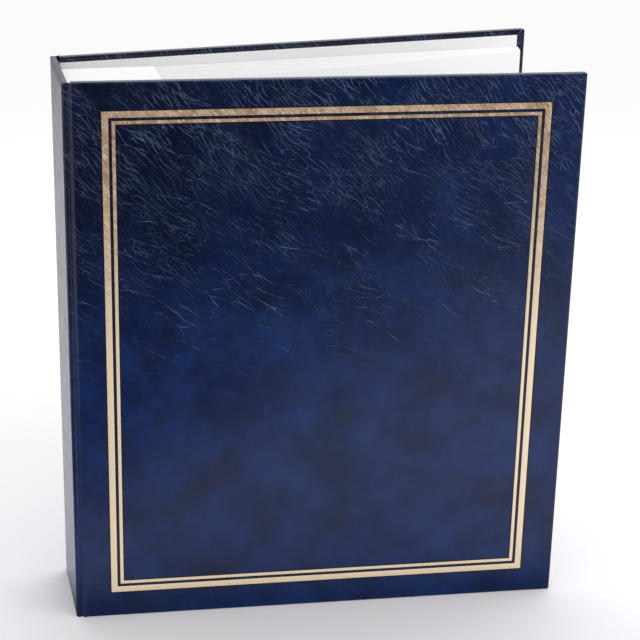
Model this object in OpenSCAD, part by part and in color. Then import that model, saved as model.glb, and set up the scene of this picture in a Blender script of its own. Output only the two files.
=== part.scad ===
// A post-bound photo album in padded leatherette, standing on its lower edge with both covers ajar.
// The spine is at -X, the front cover at -Y and the back cover at +Y. Sizes are in millimetres.

/* [Case] */
// Height of the covers and the spine
case_h = 320; // [260:1:380]
// Width of a cover, from the spine's outer face to the fore-edge
cover_w = 284; // [250:1:340]
// Thickness of the grey board in a cover
board_t = 2.8; // [2:0.1:4]
// Thickness of the foam over a cover's board
padding_t = 1.4; // [1:0.1:3]
// Thickness of the leatherette
skin_t = 0.4; // [0.25:0.05:0.8]
// How far the leatherette is turned in over the inside of the boards
turn_in = 15; // [8:1:25]
// Rounding of a cover's padded outer edges
edge_round = 1.2; // [1:0.1:2]
// Thickness of the spine's board
spine_board_t = 2.6; // [2:0.1:4]
// Width of the flexible joint, from the spine's nose to the cover's edge
joint_w = 3.1; // [2.6:0.1:6]
// How far a cover's outer face stands out from the joint
cover_proud = 0.9; // [0.5:0.1:1.5]

/* [Pastedowns] */
// Thickness of the white pastedown
paste_t = 0.2; // [0.15:0.05:0.4]
// Rim of leatherette that stays bare at a pastedown's head and foot
paste_from_ends = 3; // [2:0.5:6]
// Rim of leatherette that stays bare at a pastedown's fore-edge
paste_from_fore = 5; // [2:0.5:6]
// From a cover's edge at the joint to its pastedown
paste_from_joint = 1.5; // [1:0.5:4]

/* [Gold frame] */
// From the spine's outer face to the frame
frame_from_spine = 20.5; // [14:0.5:40]
// From the fore-edge to the frame
frame_from_fore = 18.9; // [10:0.1:40]
// From the head and the foot of the cover to the frame
frame_from_ends = 15.6; // [10:0.1:40]
// Width of the thick outer line
thick_line_w = 3.6; // [2:0.1:5]
// Width of the thin inner line
thin_line_w = 1.9; // [0.8:0.1:2.5]
// Leatherette between the two lines
line_gap = 1.7; // [0.8:0.1:3]
// Thickness of the foil
foil_t = 0.1; // [0.05:0.01:0.12]
// Depth of the stamped groove that the foil lies in
stamp_depth = 0.13; // [0.12:0.01:0.18]

/* [Leaves] */
// Number of leaves
leaf_count = 20; // [8:1:24]
// Thickness of a leaf
leaf_t = 0.35; // [0.25:0.05:0.5]
// Width of a leaf, from its bound edge to its fore-edge
leaf_w = 267; // [230:1:272]
// From the head and the foot of the case to the leaves
leaf_inset = 4.5; // [2:0.5:10]
// Thickness of a guard strip
guard_t = 1.5; // [1:0.1:1.8]
// Width of a guard strip
guard_w = 51; // [42:1:60]
// Free gap at a leaf's crease, between its bound part and the part that turns
crease_gap = 0.3; // [0.3:0.05:0.6]

/* [Binding] */
// Thickness of a folded binding flange
flange_t = 0.8; // [0.5:0.1:1.2]
// Width of a flange's leg along the leaves
flange_w = 40; // [34:1:42]
// Width of a flange's leg glued to the spine's lining
flange_foot = 15; // [8:1:17]
// From the flange's foot to the bound edge of the leaves
block_gap = 0.4; // [0.3:0.1:1]
// Outer diameter of a binding post
post_d = 5; // [4:0.1:7]
// Diameter of a post's and a screw's head
head_d = 10; // [8.5:0.5:13]
// Thickness of a post's and a screw's head
head_t = 1.3; // [0.8:0.1:1.5]
// Diameter of a screw's shank
screw_d = 3; // [2:0.1:3.3]
// Length of a screw's shank
screw_l = 9; // [5:1:14]
// Gap round a post in the punched holes
post_fit = 0.2; // [0.1:0.05:0.4]
// Number of posts
post_count = 3; // [2:1:4]
// From the bound edge of the leaves to the posts
post_in = 17; // [12:1:25]
// From the head and the foot of the leaves to the outer posts
post_from_ends = 50; // [30:1:80]
// Room between the front cover, closed, and the posts' heads
front_room = 0.6; // [0.4:0.1:3]
// Room between the screws' heads and the back cover, closed
back_room = 6.1; // [4:0.1:12]

/* [Rest pose] */
// How far the front cover stands open
front_ajar = 4.3; // [0:0.1:10]
// How far the back cover stands open
back_ajar = 5.8; // [4:0.1:10]
// How far the last leaf leans towards the back cover
back_leaf_lean = 4.4; // [3:0.1:5]
// Gap between the leaves at the fore-edge
fore_gap = 0.2; // [0.15:0.01:0.3]

/* [Hidden] */
// A cover in its closed place: the joint's outer face is the plane y = 0
cover_t = board_t + padding_t + 2 * skin_t;
cover_in = cover_t - cover_proud;
pasted_in = cover_in + paste_t;
// The hinge axis is the middle of the spine board's rounded nose
nose_r = spine_board_t / 2;
hinge_r = nose_r + skin_t;
cover_x0 = hinge_r + joint_w;
// The joint's flat stretch runs this far into its round one
strip_lap = 0.1;
spine_in = 2 * hinge_r;

// The block of leaves, from front to back
flange_y0 = pasted_in + front_room + head_t;
block_y0 = flange_y0 + flange_t;
leaf_pitch = leaf_t + guard_t;
block_t = leaf_count * leaf_pitch + guard_t;
block_y1 = block_y0 + block_t;
flange_y1 = block_y1 + flange_t;
spine_w = flange_y1 + head_t + back_room + pasted_in;

// The block of leaves, from the spine to the fore-edge
block_x0 = spine_in + flange_t + block_gap;
guard_x1 = block_x0 + guard_w;
crease_x = guard_x1 + crease_gap + leaf_t / 2;
turning_w = leaf_w - (crease_x - block_x0);
leaf_h = case_h - 2 * leaf_inset;

// Screwed posts through the block
post_x = block_x0 + post_in;
post_l = flange_y1 - flange_y0;
slot_w = 1.2;
slot_depth = 0.6;
bore_extra = 1;
post_hole_r = post_d / 2 + post_fit;
screw_fit = 0.05;

// Cutting tools reach this far past what they cut
cut = 1;
arc_steps = 6;
round_fn = 48;

function leaf_y(i) = block_y0 + guard_t + leaf_t / 2 + i * leaf_pitch;
function fore_y(i) = leaf_y(leaf_count - 1) + turning_w * sin(back_leaf_lean)
    - (leaf_count - 1 - i) * (leaf_t + fore_gap);
function leaf_lean(i) = asin((fore_y(i) - leaf_y(i)) / turning_w);
function post_z(i) = leaf_inset + post_from_ends
    + i * (leaf_h - 2 * post_from_ends) / (post_count - 1);
function leaf_name(i) = str("leaf_", i < 9 ? "0" : "", i + 1);

// Where a point of a closed front cover comes to when the cover stands open by an angle
function swung(x, y, angle) = [
    hinge_r + (x - hinge_r) * cos(angle) + (y - hinge_r) * sin(angle),
    hinge_r - (x - hinge_r) * sin(angle) + (y - hinge_r) * cos(angle)
];
function cover_out(angle) =
    swung(cover_w - edge_round, edge_round - cover_proud, angle)[1] - edge_round;
function cover_end(angle) = swung(cover_w, cover_in, angle)[0];

// The origin is the middle of the standing album's outline, at its foot
middle_x = max(cover_end(front_ajar), cover_end(back_ajar)) / 2;
middle_y = (cover_out(front_ajar) + spine_w - cover_out(back_ajar)) / 2;

CASE_NODES = [
    "spine_board", "spine_leatherette", "spine_lining",
    "front_joint", "front_board", "front_padding", "front_leatherette", "front_pastedown",
    "gold_thick_line", "gold_thin_line",
    "back_joint", "back_board", "back_padding", "back_leatherette", "back_pastedown"
];
BINDING_NODES = [
    "front_flange", "back_flange", "guard_strips", "leaf_stubs", "binding_posts", "binding_screws"
];
LEAF_NODES = [for (i = [0:leaf_count - 1]) leaf_name(i)];

// Puts what is drawn from the spine's front corner on the album's own origin
module placed() {
    translate([-middle_x, -middle_y, 0]) children();
}

// Swings what is drawn on the closed front cover to where it stands
module on_front() {
    placed() translate([hinge_r, hinge_r, 0]) rotate(-front_ajar)
        translate([-hinge_r, -hinge_r, 0]) children();
}

// The same for the back cover, which is the front cover mirrored about the spine's middle
module on_back() {
    placed() at_back() translate([hinge_r, hinge_r, 0]) rotate(-back_ajar)
        translate([-hinge_r, -hinge_r, 0]) children();
}

module at_back() {
    translate([0, spine_w, 0]) mirror([0, 1, 0]) children();
}

module block(low, high) {
    translate(low) cube(high - low);
}

// Outline of a plate from a to b, square on the inside at y = inner and rounded at y = outer
function arc(cx, cy, r, from, to) =
    [for (k = [0:arc_steps]) let (t = from + (to - from) * k / arc_steps) [cx + r * cos(t), cy + r * sin(t)]];
function plate_outline(a, b, outer, inner, round_a, round_b) = concat(
    [[b, inner], [a, inner]],
    arc(a + round_a, outer + round_a, round_a, 180, 270),
    arc(b - round_b, outer + round_b, round_b, 270, 360)
);

// A cover's plate, inset from the cover's outline, between two depths
module plate(inset, outer, inner) {
    soft = edge_round - inset;
    joint_soft = cover_proud - inset;
    across = plate_outline(cover_x0 + inset, cover_w - inset, outer, inner, joint_soft, soft);
    upright = plate_outline(inset, case_h - inset, outer, inner, soft, soft);
    intersection() {
        linear_extrude(case_h) polygon(across);
        rotate([90, 0, 90]) linear_extrude(cover_w + cut) polygon([for (p = upright) [p[1], p[0]]]);
    }
}

// The leatherette of a cover: face, edges and turn-ins, open to the joint on the inside
module cover_leatherette() {
    difference() {
        plate(0, -cover_proud, cover_in);
        plate(skin_t, skin_t - cover_proud, cover_in - skin_t);
        block([cover_x0 - cut, cover_in - skin_t, turn_in],
            [cover_w - turn_in, cover_in + cut, case_h - turn_in]);
    }
}

// Foam between the leatherette and the board
module cover_padding() {
    intersection() {
        plate(skin_t, skin_t - cover_proud, cover_in - skin_t);
        block([0, -cover_proud, 0], [cover_w, skin_t + padding_t - cover_proud, case_h]);
    }
}

module cover_board() {
    intersection() {
        plate(skin_t, skin_t - cover_proud, cover_in - skin_t);
        block([0, skin_t + padding_t - cover_proud, 0], [cover_w, cover_in, case_h]);
    }
}

// A pastedown lies on the turn-ins all round and is pressed down on the board inside them
module cover_pastedown() {
    paste_x0 = cover_x0 + paste_from_joint;
    sunk_x1 = cover_w - turn_in;
    sunk_z0 = turn_in;
    sunk_z1 = case_h - turn_in;
    difference() {
        union() {
            block([paste_x0, cover_in, paste_from_ends],
                [cover_w - paste_from_fore, pasted_in, case_h - paste_from_ends]);
            block([paste_x0, cover_in - skin_t, sunk_z0], [sunk_x1, pasted_in, sunk_z1]);
        }
        block([cover_x0, cover_in - skin_t + paste_t, sunk_z0 + paste_t],
            [sunk_x1 - paste_t, pasted_in + cut, sunk_z1 - paste_t]);
    }
}

// One line of the gold frame as a ring, inset in the frame, between two depths under the face
module frame_line(inset, width, y0, y1) {
    difference() {
        frame_block(inset, y0, y1);
        frame_block(inset + width, y0 - cut, y1 + cut);
    }
}

module frame_block(inset, y0, y1) {
    block([frame_from_spine + inset, y0 - cover_proud, frame_from_ends + inset],
        [cover_w - frame_from_fore - inset, y1 - cover_proud, case_h - frame_from_ends - inset]);
}

module foil(inset, width) {
    frame_line(inset, width, stamp_depth - foil_t, stamp_depth);
}

// The joint's leatherette wraps the spine's nose and runs along to the cover's edge
module joint_strip(ajar) {
    linear_extrude(case_h) {
        difference() {
            intersection() {
                translate([hinge_r, hinge_r]) circle(hinge_r, $fn = round_fn);
                polygon([
                    [hinge_r, hinge_r], [-hinge_r, hinge_r], [-hinge_r, -hinge_r],
                    [hinge_r - 2 * hinge_r * tan(ajar), -hinge_r]
                ]);
            }
            translate([hinge_r, hinge_r]) circle(nose_r, $fn = round_fn);
        }
        translate([hinge_r, hinge_r]) rotate(-ajar) translate([-strip_lap, -hinge_r])
            square([joint_w + strip_lap, skin_t]);
    }
}

module spine_board() {
    color("#8d8577") placed() spine_core(skin_t, case_h - skin_t);
}

// The spine board's outline with its rounded noses, between two heights
module spine_core(low, high) {
    block([skin_t, hinge_r, low], [spine_in - skin_t, spine_w - hinge_r, high]);
    for (y = [hinge_r, spine_w - hinge_r])
        translate([hinge_r, y, low]) cylinder(r = nose_r, h = high - low, $fn = round_fn);
}

module spine_leatherette() {
    color("#24305c") placed() {
        block([0, hinge_r, 0], [skin_t, spine_w - hinge_r, case_h]);
        spine_core(0, skin_t);
        spine_core(case_h - skin_t, case_h);
        for (z = [0, case_h - turn_in])
            block([spine_in - skin_t, hinge_r, z], [spine_in, spine_w - hinge_r, z + turn_in]);
    }
}

module spine_lining() {
    color("white") placed()
        block([spine_in - skin_t, hinge_r, turn_in], [spine_in, spine_w - hinge_r, case_h - turn_in]);
}

module front_joint() {
    color("#24305c") placed() joint_strip(front_ajar);
}

module back_joint() {
    color("#24305c") placed() at_back() joint_strip(back_ajar);
}

module front_board() {
    color("#8d8577") on_front() cover_board();
}

module front_padding() {
    color("#d8d8d4") on_front() cover_padding();
}

module front_leatherette() {
    thin_inset = thick_line_w + line_gap;
    color("#24305c") on_front() difference() {
        cover_leatherette();
        frame_line(0, thick_line_w, -cut, stamp_depth);
        frame_line(thin_inset, thin_line_w, -cut, stamp_depth);
    }
}

module front_pastedown() {
    color("white") on_front() cover_pastedown();
}

module gold_thick_line() {
    color("#cdb27e") on_front() foil(0, thick_line_w);
}

module gold_thin_line() {
    color("#cdb27e") on_front() foil(thick_line_w + line_gap, thin_line_w);
}

module back_board() {
    color("#8d8577") on_back() cover_board();
}

module back_padding() {
    color("#d8d8d4") on_back() cover_padding();
}

module back_leatherette() {
    color("#24305c") on_back() cover_leatherette();
}

module back_pastedown() {
    color("white") on_back() cover_pastedown();
}

// Holes for the posts through what is bound, from one y to another
module post_holes(y0, y1) {
    for (i = [0:post_count - 1])
        translate([post_x, y1 + cut, post_z(i)]) rotate([90, 0, 0])
            cylinder(r = post_hole_r, h = y1 - y0 + 2 * cut, $fn = round_fn);
}

// A flange is folded to an L: one leg lies on the leaves and the other on the spine's lining
module flange_front() {
    z0 = leaf_inset;
    z1 = case_h - leaf_inset;
    difference() {
        union() {
            block([spine_in, flange_y0, z0], [spine_in + flange_w, block_y0, z1]);
            block([spine_in, flange_y0, z0], [spine_in + flange_t, flange_y0 + flange_foot, z1]);
        }
        post_holes(flange_y0, block_y0);
    }
}

module front_flange() {
    color("white") placed() flange_front();
}

module back_flange() {
    color("white") placed() translate([0, flange_y0 + flange_y1, 0]) mirror([0, 1, 0]) flange_front();
}

module guard_strips() {
    color("#f6f6f2") placed() for (i = [0:leaf_count]) {
        y = block_y0 + i * leaf_pitch;
        difference() {
            block([block_x0, y, leaf_inset], [guard_x1, y + guard_t, case_h - leaf_inset]);
            post_holes(y, y + guard_t);
        }
    }
}

// The bound part of each leaf, between two guard strips
module leaf_stubs() {
    color("white") placed() for (i = [0:leaf_count - 1]) {
        y = leaf_y(i) - leaf_t / 2;
        difference() {
            block([block_x0, y, leaf_inset], [guard_x1, y + leaf_t, case_h - leaf_inset]);
            post_holes(y, y + leaf_t);
        }
    }
}

// A post is a flat head and a tube with a blind hole for its screw
module binding_posts() {
    color("#c9b26a") placed() for (i = [0:post_count - 1])
        translate([post_x, flange_y0, post_z(i)]) rotate([-90, 0, 0]) difference() {
            union() {
                translate([0, 0, -head_t]) cylinder(d = head_d, h = head_t, $fn = round_fn);
                cylinder(d = post_d, h = post_l, $fn = round_fn);
            }
            translate([0, 0, post_l - screw_l - bore_extra])
                cylinder(r = screw_d / 2 + screw_fit, h = screw_l + bore_extra + cut, $fn = round_fn);
        }
}

module binding_screws() {
    color("#c9b26a") placed() for (i = [0:post_count - 1])
        translate([post_x, flange_y1, post_z(i)]) rotate([-90, 0, 0]) difference() {
            union() {
                cylinder(d = head_d, h = head_t, $fn = round_fn);
                translate([0, 0, -screw_l]) cylinder(d = screw_d, h = screw_l, $fn = round_fn);
            }
            translate([-head_d, -slot_w / 2, head_t - slot_depth]) cube([2 * head_d, slot_w, cut]);
        }
}

// The turning part of a leaf, with a round crease edge on its own hinge axis
module leaf(i) {
    color("white") placed() translate([crease_x, leaf_y(i), leaf_inset]) rotate(leaf_lean(i)) {
        translate([0, -leaf_t / 2, 0]) cube([turning_w, leaf_t, leaf_h]);
        cylinder(d = leaf_t, h = leaf_h, $fn = round_fn);
    }
}

spine_board();
spine_leatherette();
spine_lining();
front_joint();
front_board();
front_padding();
front_leatherette();
front_pastedown();
gold_thick_line();
gold_thin_line();
back_joint();
back_board();
back_padding();
back_leatherette();
back_pastedown();
front_flange();
back_flange();
guard_strips();
leaf_stubs();
binding_posts();
binding_screws();
for (i = [0:leaf_count - 1])
    leaf(i);
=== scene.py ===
"""A photo album in blue padded leatherette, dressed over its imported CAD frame.

Sizes of the album's pieces are millimetres in the closed album's own plan: x runs from the spine's outer
face to the fore-edge, y from the front joint to the back one, and z up from the foot. Sizes in the
finishes and the studio are metres.
"""
import logging
import math
from dataclasses import dataclass, field
from enum import Enum
from typing import Any, Callable, Optional, Sequence

import bmesh
import bpy
import numpy as np
from mathutils import Matrix, Vector, noise


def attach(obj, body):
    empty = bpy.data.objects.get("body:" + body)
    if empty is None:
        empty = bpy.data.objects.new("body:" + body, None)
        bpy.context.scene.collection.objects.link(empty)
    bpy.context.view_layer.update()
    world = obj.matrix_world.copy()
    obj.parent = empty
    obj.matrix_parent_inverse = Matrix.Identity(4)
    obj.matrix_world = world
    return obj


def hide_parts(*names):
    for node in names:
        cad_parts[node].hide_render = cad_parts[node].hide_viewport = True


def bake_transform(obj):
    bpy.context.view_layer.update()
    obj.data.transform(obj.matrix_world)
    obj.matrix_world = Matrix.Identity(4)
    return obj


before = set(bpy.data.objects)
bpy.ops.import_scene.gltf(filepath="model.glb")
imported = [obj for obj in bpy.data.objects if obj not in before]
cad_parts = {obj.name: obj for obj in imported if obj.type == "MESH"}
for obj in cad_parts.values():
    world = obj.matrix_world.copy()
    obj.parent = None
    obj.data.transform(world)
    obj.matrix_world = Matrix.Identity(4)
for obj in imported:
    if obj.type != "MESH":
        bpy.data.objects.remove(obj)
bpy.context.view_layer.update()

LOG = logging.getLogger("photo_album")
MM = 0.001
SHARP_EDGE = 35.0
MERGE_WITHIN = 1e-7

Colour = tuple[float, float, float]
Spot = tuple[float, float, float]
Pair = tuple[float, float]
Placing = Callable[[np.ndarray], np.ndarray]
Socket = bpy.types.NodeSocket
Value = Any


@dataclass(frozen=True)
class CaseSizes:
    """Sizes that several pieces of the album share, in millimetres and degrees."""

    height: float = 320.0
    cover_w: float = 284.0
    skin_t: float = 0.4
    turn_in: float = 15.0
    edge_round: float = 1.2
    joint_x: float = 4.8
    cover_proud: float = 0.9
    cover_in: float = 4.1
    spine_w: float = 58.0
    spine_in: float = 3.4
    nose_r: float = 1.3
    hinge_r: float = 1.7
    middle_x: float = 141.692656
    middle_y: float = 32.663589
    front_ajar: float = 4.3
    back_ajar: float = 5.8


CASE = CaseSizes()


class Body(Enum):
    """The moving bodies that pieces of the case ride on."""

    SPINE = "spine_and_binding"
    FRONT = "front_cover"
    BACK = "back_cover"


class Side(Enum):
    """The two halves of the case."""

    FRONT = "front"
    BACK = "back"

    @property
    def ajar(self) -> float:
        """How far this cover stands open, in degrees."""
        return CASE.front_ajar if self is Side.FRONT else CASE.back_ajar

    @property
    def body(self) -> Body:
        """The body that this cover is."""
        return Body.FRONT if self is Side.FRONT else Body.BACK

    def swung(self, points: np.ndarray, share: Any = 1.0) -> np.ndarray:
        """Swings points of the closed cover to where it stands.

        Args:
            points: Rows of x, y, z in millimetres, on the closed front cover.
            share: How much of the opening each point takes, from 0 to 1.

        Returns:
            The points in the album's frame, in metres. The back cover's are mirrored.
        """
        turn = -np.radians(self.ajar) * share
        x = points[:, 0] - CASE.hinge_r
        y = points[:, 1] - CASE.hinge_r
        moved = np.array(points, float)
        moved[:, 0] = x * np.cos(turn) - y * np.sin(turn) + CASE.hinge_r
        moved[:, 1] = x * np.sin(turn) + y * np.cos(turn) + CASE.hinge_r
        if self is Side.BACK:
            moved[:, 1] = CASE.spine_w - moved[:, 1]
        return standing(moved)

    def unswung(self, points: np.ndarray) -> np.ndarray:
        """Swings points of the standing cover back.

        Args:
            points: Rows of x, y, z in metres.

        Returns:
            Where they lie on the closed front cover, in millimetres.
        """
        shut = in_plan(points)
        if self is Side.BACK:
            shut[:, 1] = CASE.spine_w - shut[:, 1]
        turn = math.radians(self.ajar)
        x, y = shut[:, 0] - CASE.hinge_r, shut[:, 1] - CASE.hinge_r
        return np.stack([x * math.cos(turn) - y * math.sin(turn) + CASE.hinge_r,
                         x * math.sin(turn) + y * math.cos(turn) + CASE.hinge_r, shut[:, 2]], axis=-1)

    def on_sheet(self, flat: np.ndarray) -> np.ndarray:
        """Where points lie on the one sheet of leatherette that covers the case.

        Args:
            flat: Distance from the spine's outer face and height of each point, on the unrolled cover.

        Returns:
            Distance along the sheet, to the front cover's fore-edge, and height.
        """
        if self is Side.FRONT:
            return flat
        round_spine = CASE.spine_w - 2 * CASE.hinge_r + math.pi * CASE.hinge_r
        return np.column_stack([2 * CASE.hinge_r - round_spine - flat[:, 0], flat[:, 1]])


def standing(points: Any) -> np.ndarray:
    """Moves points of the spine and the block, in millimetres, to the album's frame, in metres."""
    return (np.asarray(points, float) - [CASE.middle_x, CASE.middle_y, 0.0]) * MM


def in_plan(points: np.ndarray) -> np.ndarray:
    """Moves points of the album's frame, in metres, back to its plan, in millimetres."""
    return points / MM + [CASE.middle_x, CASE.middle_y, 0.0]


def smooth(value: Any, low: float, high: float) -> np.ndarray:
    """Rises smoothly from 0 at low to 1 at high."""
    share = np.clip((np.asarray(value) - low) / (high - low), 0.0, 1.0)
    return share * share * (3 - 2 * share)


def least(*values: Any) -> np.ndarray:
    """The smallest of several numbers, point by point."""
    return np.minimum.reduce(np.broadcast_arrays(*values))


def arc(*degrees: float) -> list[Pair]:
    """The sine and cosine of each angle."""
    return [(math.sin(math.radians(a)), math.cos(math.radians(a))) for a in degrees]


def lines(low: float, high: float, step: float, marks: Sequence[float] = ()) -> np.ndarray:
    """Grid lines from low to high.

    Args:
        low: The first line.
        high: The last line.
        step: The widest gap between two lines.
        marks: Places that get a line of their own.

    Returns:
        The lines in rising order.
    """
    stops = sorted({low, high, *(m for m in marks if low < m < high)})
    made = []
    for a, b in zip(stops, stops[1:]):
        count = max(1, math.ceil((b - a) / step - 1e-6))
        made.extend(a + (b - a) * k / count for k in range(count))
    return np.array(made + [high])


@dataclass(frozen=True)
class Padding:
    """The gentle unevenness of leatherette over foam, as a wide and a fine wave."""

    per_mm: float = 0.021
    wide: float = 0.055
    fine: float = 0.02
    finer_by: float = 2.9

    def ripple(self, x: np.ndarray, z: np.ndarray, seed: float) -> np.ndarray:
        """How far the surface sinks, or rises where it is negative.

        Args:
            x: Each point's place across the surface.
            z: Its height.
            seed: Which pattern.

        Returns:
            The depths.
        """
        depths = []
        for a, b in zip(np.ravel(x), np.ravel(z)):
            spot = Vector((a * self.per_mm, seed, b * self.per_mm))
            depths.append(self.wide * noise.noise(spot) + self.fine * noise.noise(spot * self.finer_by))
        return np.array(depths).reshape(np.shape(x))


PADDING = Padding()


# Meshes


def added(name: str, data: Any) -> bpy.types.Object:
    """Puts a new object in the scene.

    Args:
        name: The object's name.
        data: Its mesh, lamp or camera.

    Returns:
        The object, at the origin.
    """
    made = bpy.data.objects.new(name, data)
    bpy.context.scene.collection.objects.link(made)
    return made


class Weave:
    """Collects a mesh's points and faces, in millimetres, before they are placed."""

    def __init__(self) -> None:
        """Starts with nothing in it."""
        self.points: list[np.ndarray] = []
        self.cloth: list[np.ndarray] = []
        self.faces: list[tuple[int, ...]] = []
        self.count = 0

    def add(self, points: np.ndarray, cloth: Optional[np.ndarray] = None) -> np.ndarray:
        """Adds points.

        Args:
            points: An array of any shape whose last axis is x, y, z.
            cloth: Where each point lies on the flat sheet of cloth that it is cut from, across and up.

        Returns:
            The points' numbers, in the array's shape.
        """
        flat = np.reshape(points, (-1, 3))
        numbers = np.arange(self.count, self.count + len(flat))
        self.points.append(flat)
        self.cloth.append(flat[:, [0, 2]] if cloth is None else np.reshape(cloth, (-1, 2)))
        self.count += len(flat)
        return numbers.reshape(np.shape(points)[:-1])

    def face(self, *corners: Any) -> None:
        """Adds one face between numbered points."""
        self.faces.append(tuple(int(n) for n in corners))

    def sheet(self, grid: np.ndarray, flip: bool = False) -> None:
        """Joins a two-way grid of point numbers with four-sided faces.

        Args:
            grid: The point numbers.
            flip: Turns the faces the other way round.
        """
        for i in range(grid.shape[0] - 1):
            for j in range(grid.shape[1] - 1):
                corners = (grid[i, j], grid[i + 1, j], grid[i + 1, j + 1], grid[i, j + 1])
                self.face(*(corners[::-1] if flip else corners))

    def band(self, first: Sequence[int], second: Sequence[int], loop: bool = True) -> None:
        """Joins two rows of point numbers with a band of faces.

        Args:
            first: One row.
            second: The other row, of the same length.
            loop: The band goes on from the rows' ends to their starts.
        """
        count = len(first)
        for k in range(count if loop else count - 1):
            n = (k + 1) % count
            self.face(first[k], first[n], second[n], second[k])

    def piece(self, name: str, place: Placing, closed: bool = True, flip: bool = False) -> bpy.types.Object:
        """Makes the object.

        Args:
            name: The piece's name.
            place: Moves the points from millimetres to the album's frame.
            closed: The mesh is a closed shell, so its faces are turned outwards.
            flip: Turns every face round, for an open sheet that was mirrored.

        Returns:
            The new object, at the origin.
        """
        mesh = bpy.data.meshes.new(name)
        faces = [f[::-1] for f in self.faces] if flip else self.faces
        mesh.from_pydata(place(np.concatenate(self.points)).tolist(), [], faces)
        flat = np.zeros((self.count, 3), np.float32)
        flat[:, :2] = np.concatenate(self.cloth) * MM
        mesh.attributes.new("cloth", "FLOAT_VECTOR", "POINT").data.foreach_set("vector", flat.ravel())
        work = bmesh.new()
        work.from_mesh(mesh)
        bmesh.ops.remove_doubles(work, verts=work.verts, dist=MERGE_WITHIN)
        if closed:
            bmesh.ops.recalc_face_normals(work, faces=work.faces)
        work.to_mesh(mesh)
        work.free()
        made = added(name, mesh)
        soften(made)
        return made


def soften(piece: bpy.types.Object) -> None:
    """Shades a piece smooth, apart from its sharp edges.

    Args:
        piece: The piece.
    """
    mesh = piece.data
    mesh.polygons.foreach_set("use_smooth", [True] * len(mesh.polygons))
    mesh.set_sharp_from_angle(angle=math.radians(SHARP_EDGE))
    mesh.update()


def settle(piece: bpy.types.Object) -> None:
    """Turns a piece's modifiers into its own plain mesh.

    Args:
        piece: The piece.
    """
    graph = bpy.context.evaluated_depsgraph_get()
    mesh = bpy.data.meshes.new_from_object(piece.evaluated_get(graph))
    piece.modifiers.clear()
    old = piece.data
    piece.data = mesh
    bpy.data.meshes.remove(old)
    mesh.name = piece.name


def thicken(piece: bpy.types.Object, thickness: float) -> None:
    """Gives an open sheet its thickness, on the side away from its faces.

    Args:
        piece: The sheet.
        thickness: Its thickness, in millimetres.
    """
    wall = piece.modifiers.new("wall", "SOLIDIFY")
    wall.thickness = thickness * MM
    wall.offset = -1.0
    wall.use_rim = True
    settle(piece)
    soften(piece)


def note(piece: bpy.types.Object, name: str, values: np.ndarray) -> None:
    """Stores a number for each point of a piece, for its material to read."""
    layer = piece.data.attributes.new(name, "FLOAT", "POINT")
    layer.data.foreach_set("value", np.ravel(values).astype(np.float32))


def points_of(piece: bpy.types.Object) -> np.ndarray:
    """A piece's points.

    Args:
        piece: The piece.

    Returns:
        Rows of x, y, z, in metres.
    """
    flat = np.zeros(len(piece.data.vertices) * 3, np.float32)
    piece.data.vertices.foreach_get("co", flat)
    return flat.reshape(-1, 3).astype(float)


def dress(piece: bpy.types.Object, material: bpy.types.Material) -> bpy.types.Object:
    """Gives a piece one material.

    Args:
        piece: The piece.
        material: Its material.

    Returns:
        The piece.
    """
    piece.data.materials.clear()
    piece.data.materials.append(material)
    return piece


def stands_for(piece: bpy.types.Object, node: str, slot: str) -> None:
    """Says which CAD node a piece replaces, and reports the piece.

    Args:
        piece: The piece.
        node: The node that it stands for.
        slot: The record's material slot that it takes.
    """
    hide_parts(node)
    LOG.info("%s stands for %s, in %s", piece.name, node, slot)


def seat(piece: bpy.types.Object, body: Body, node: str, slot: str) -> None:
    """Sets a piece on the one body that it rides on, in the place of a CAD node."""
    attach(piece, body.value)
    stands_for(piece, node, slot)


# Node trees


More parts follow.
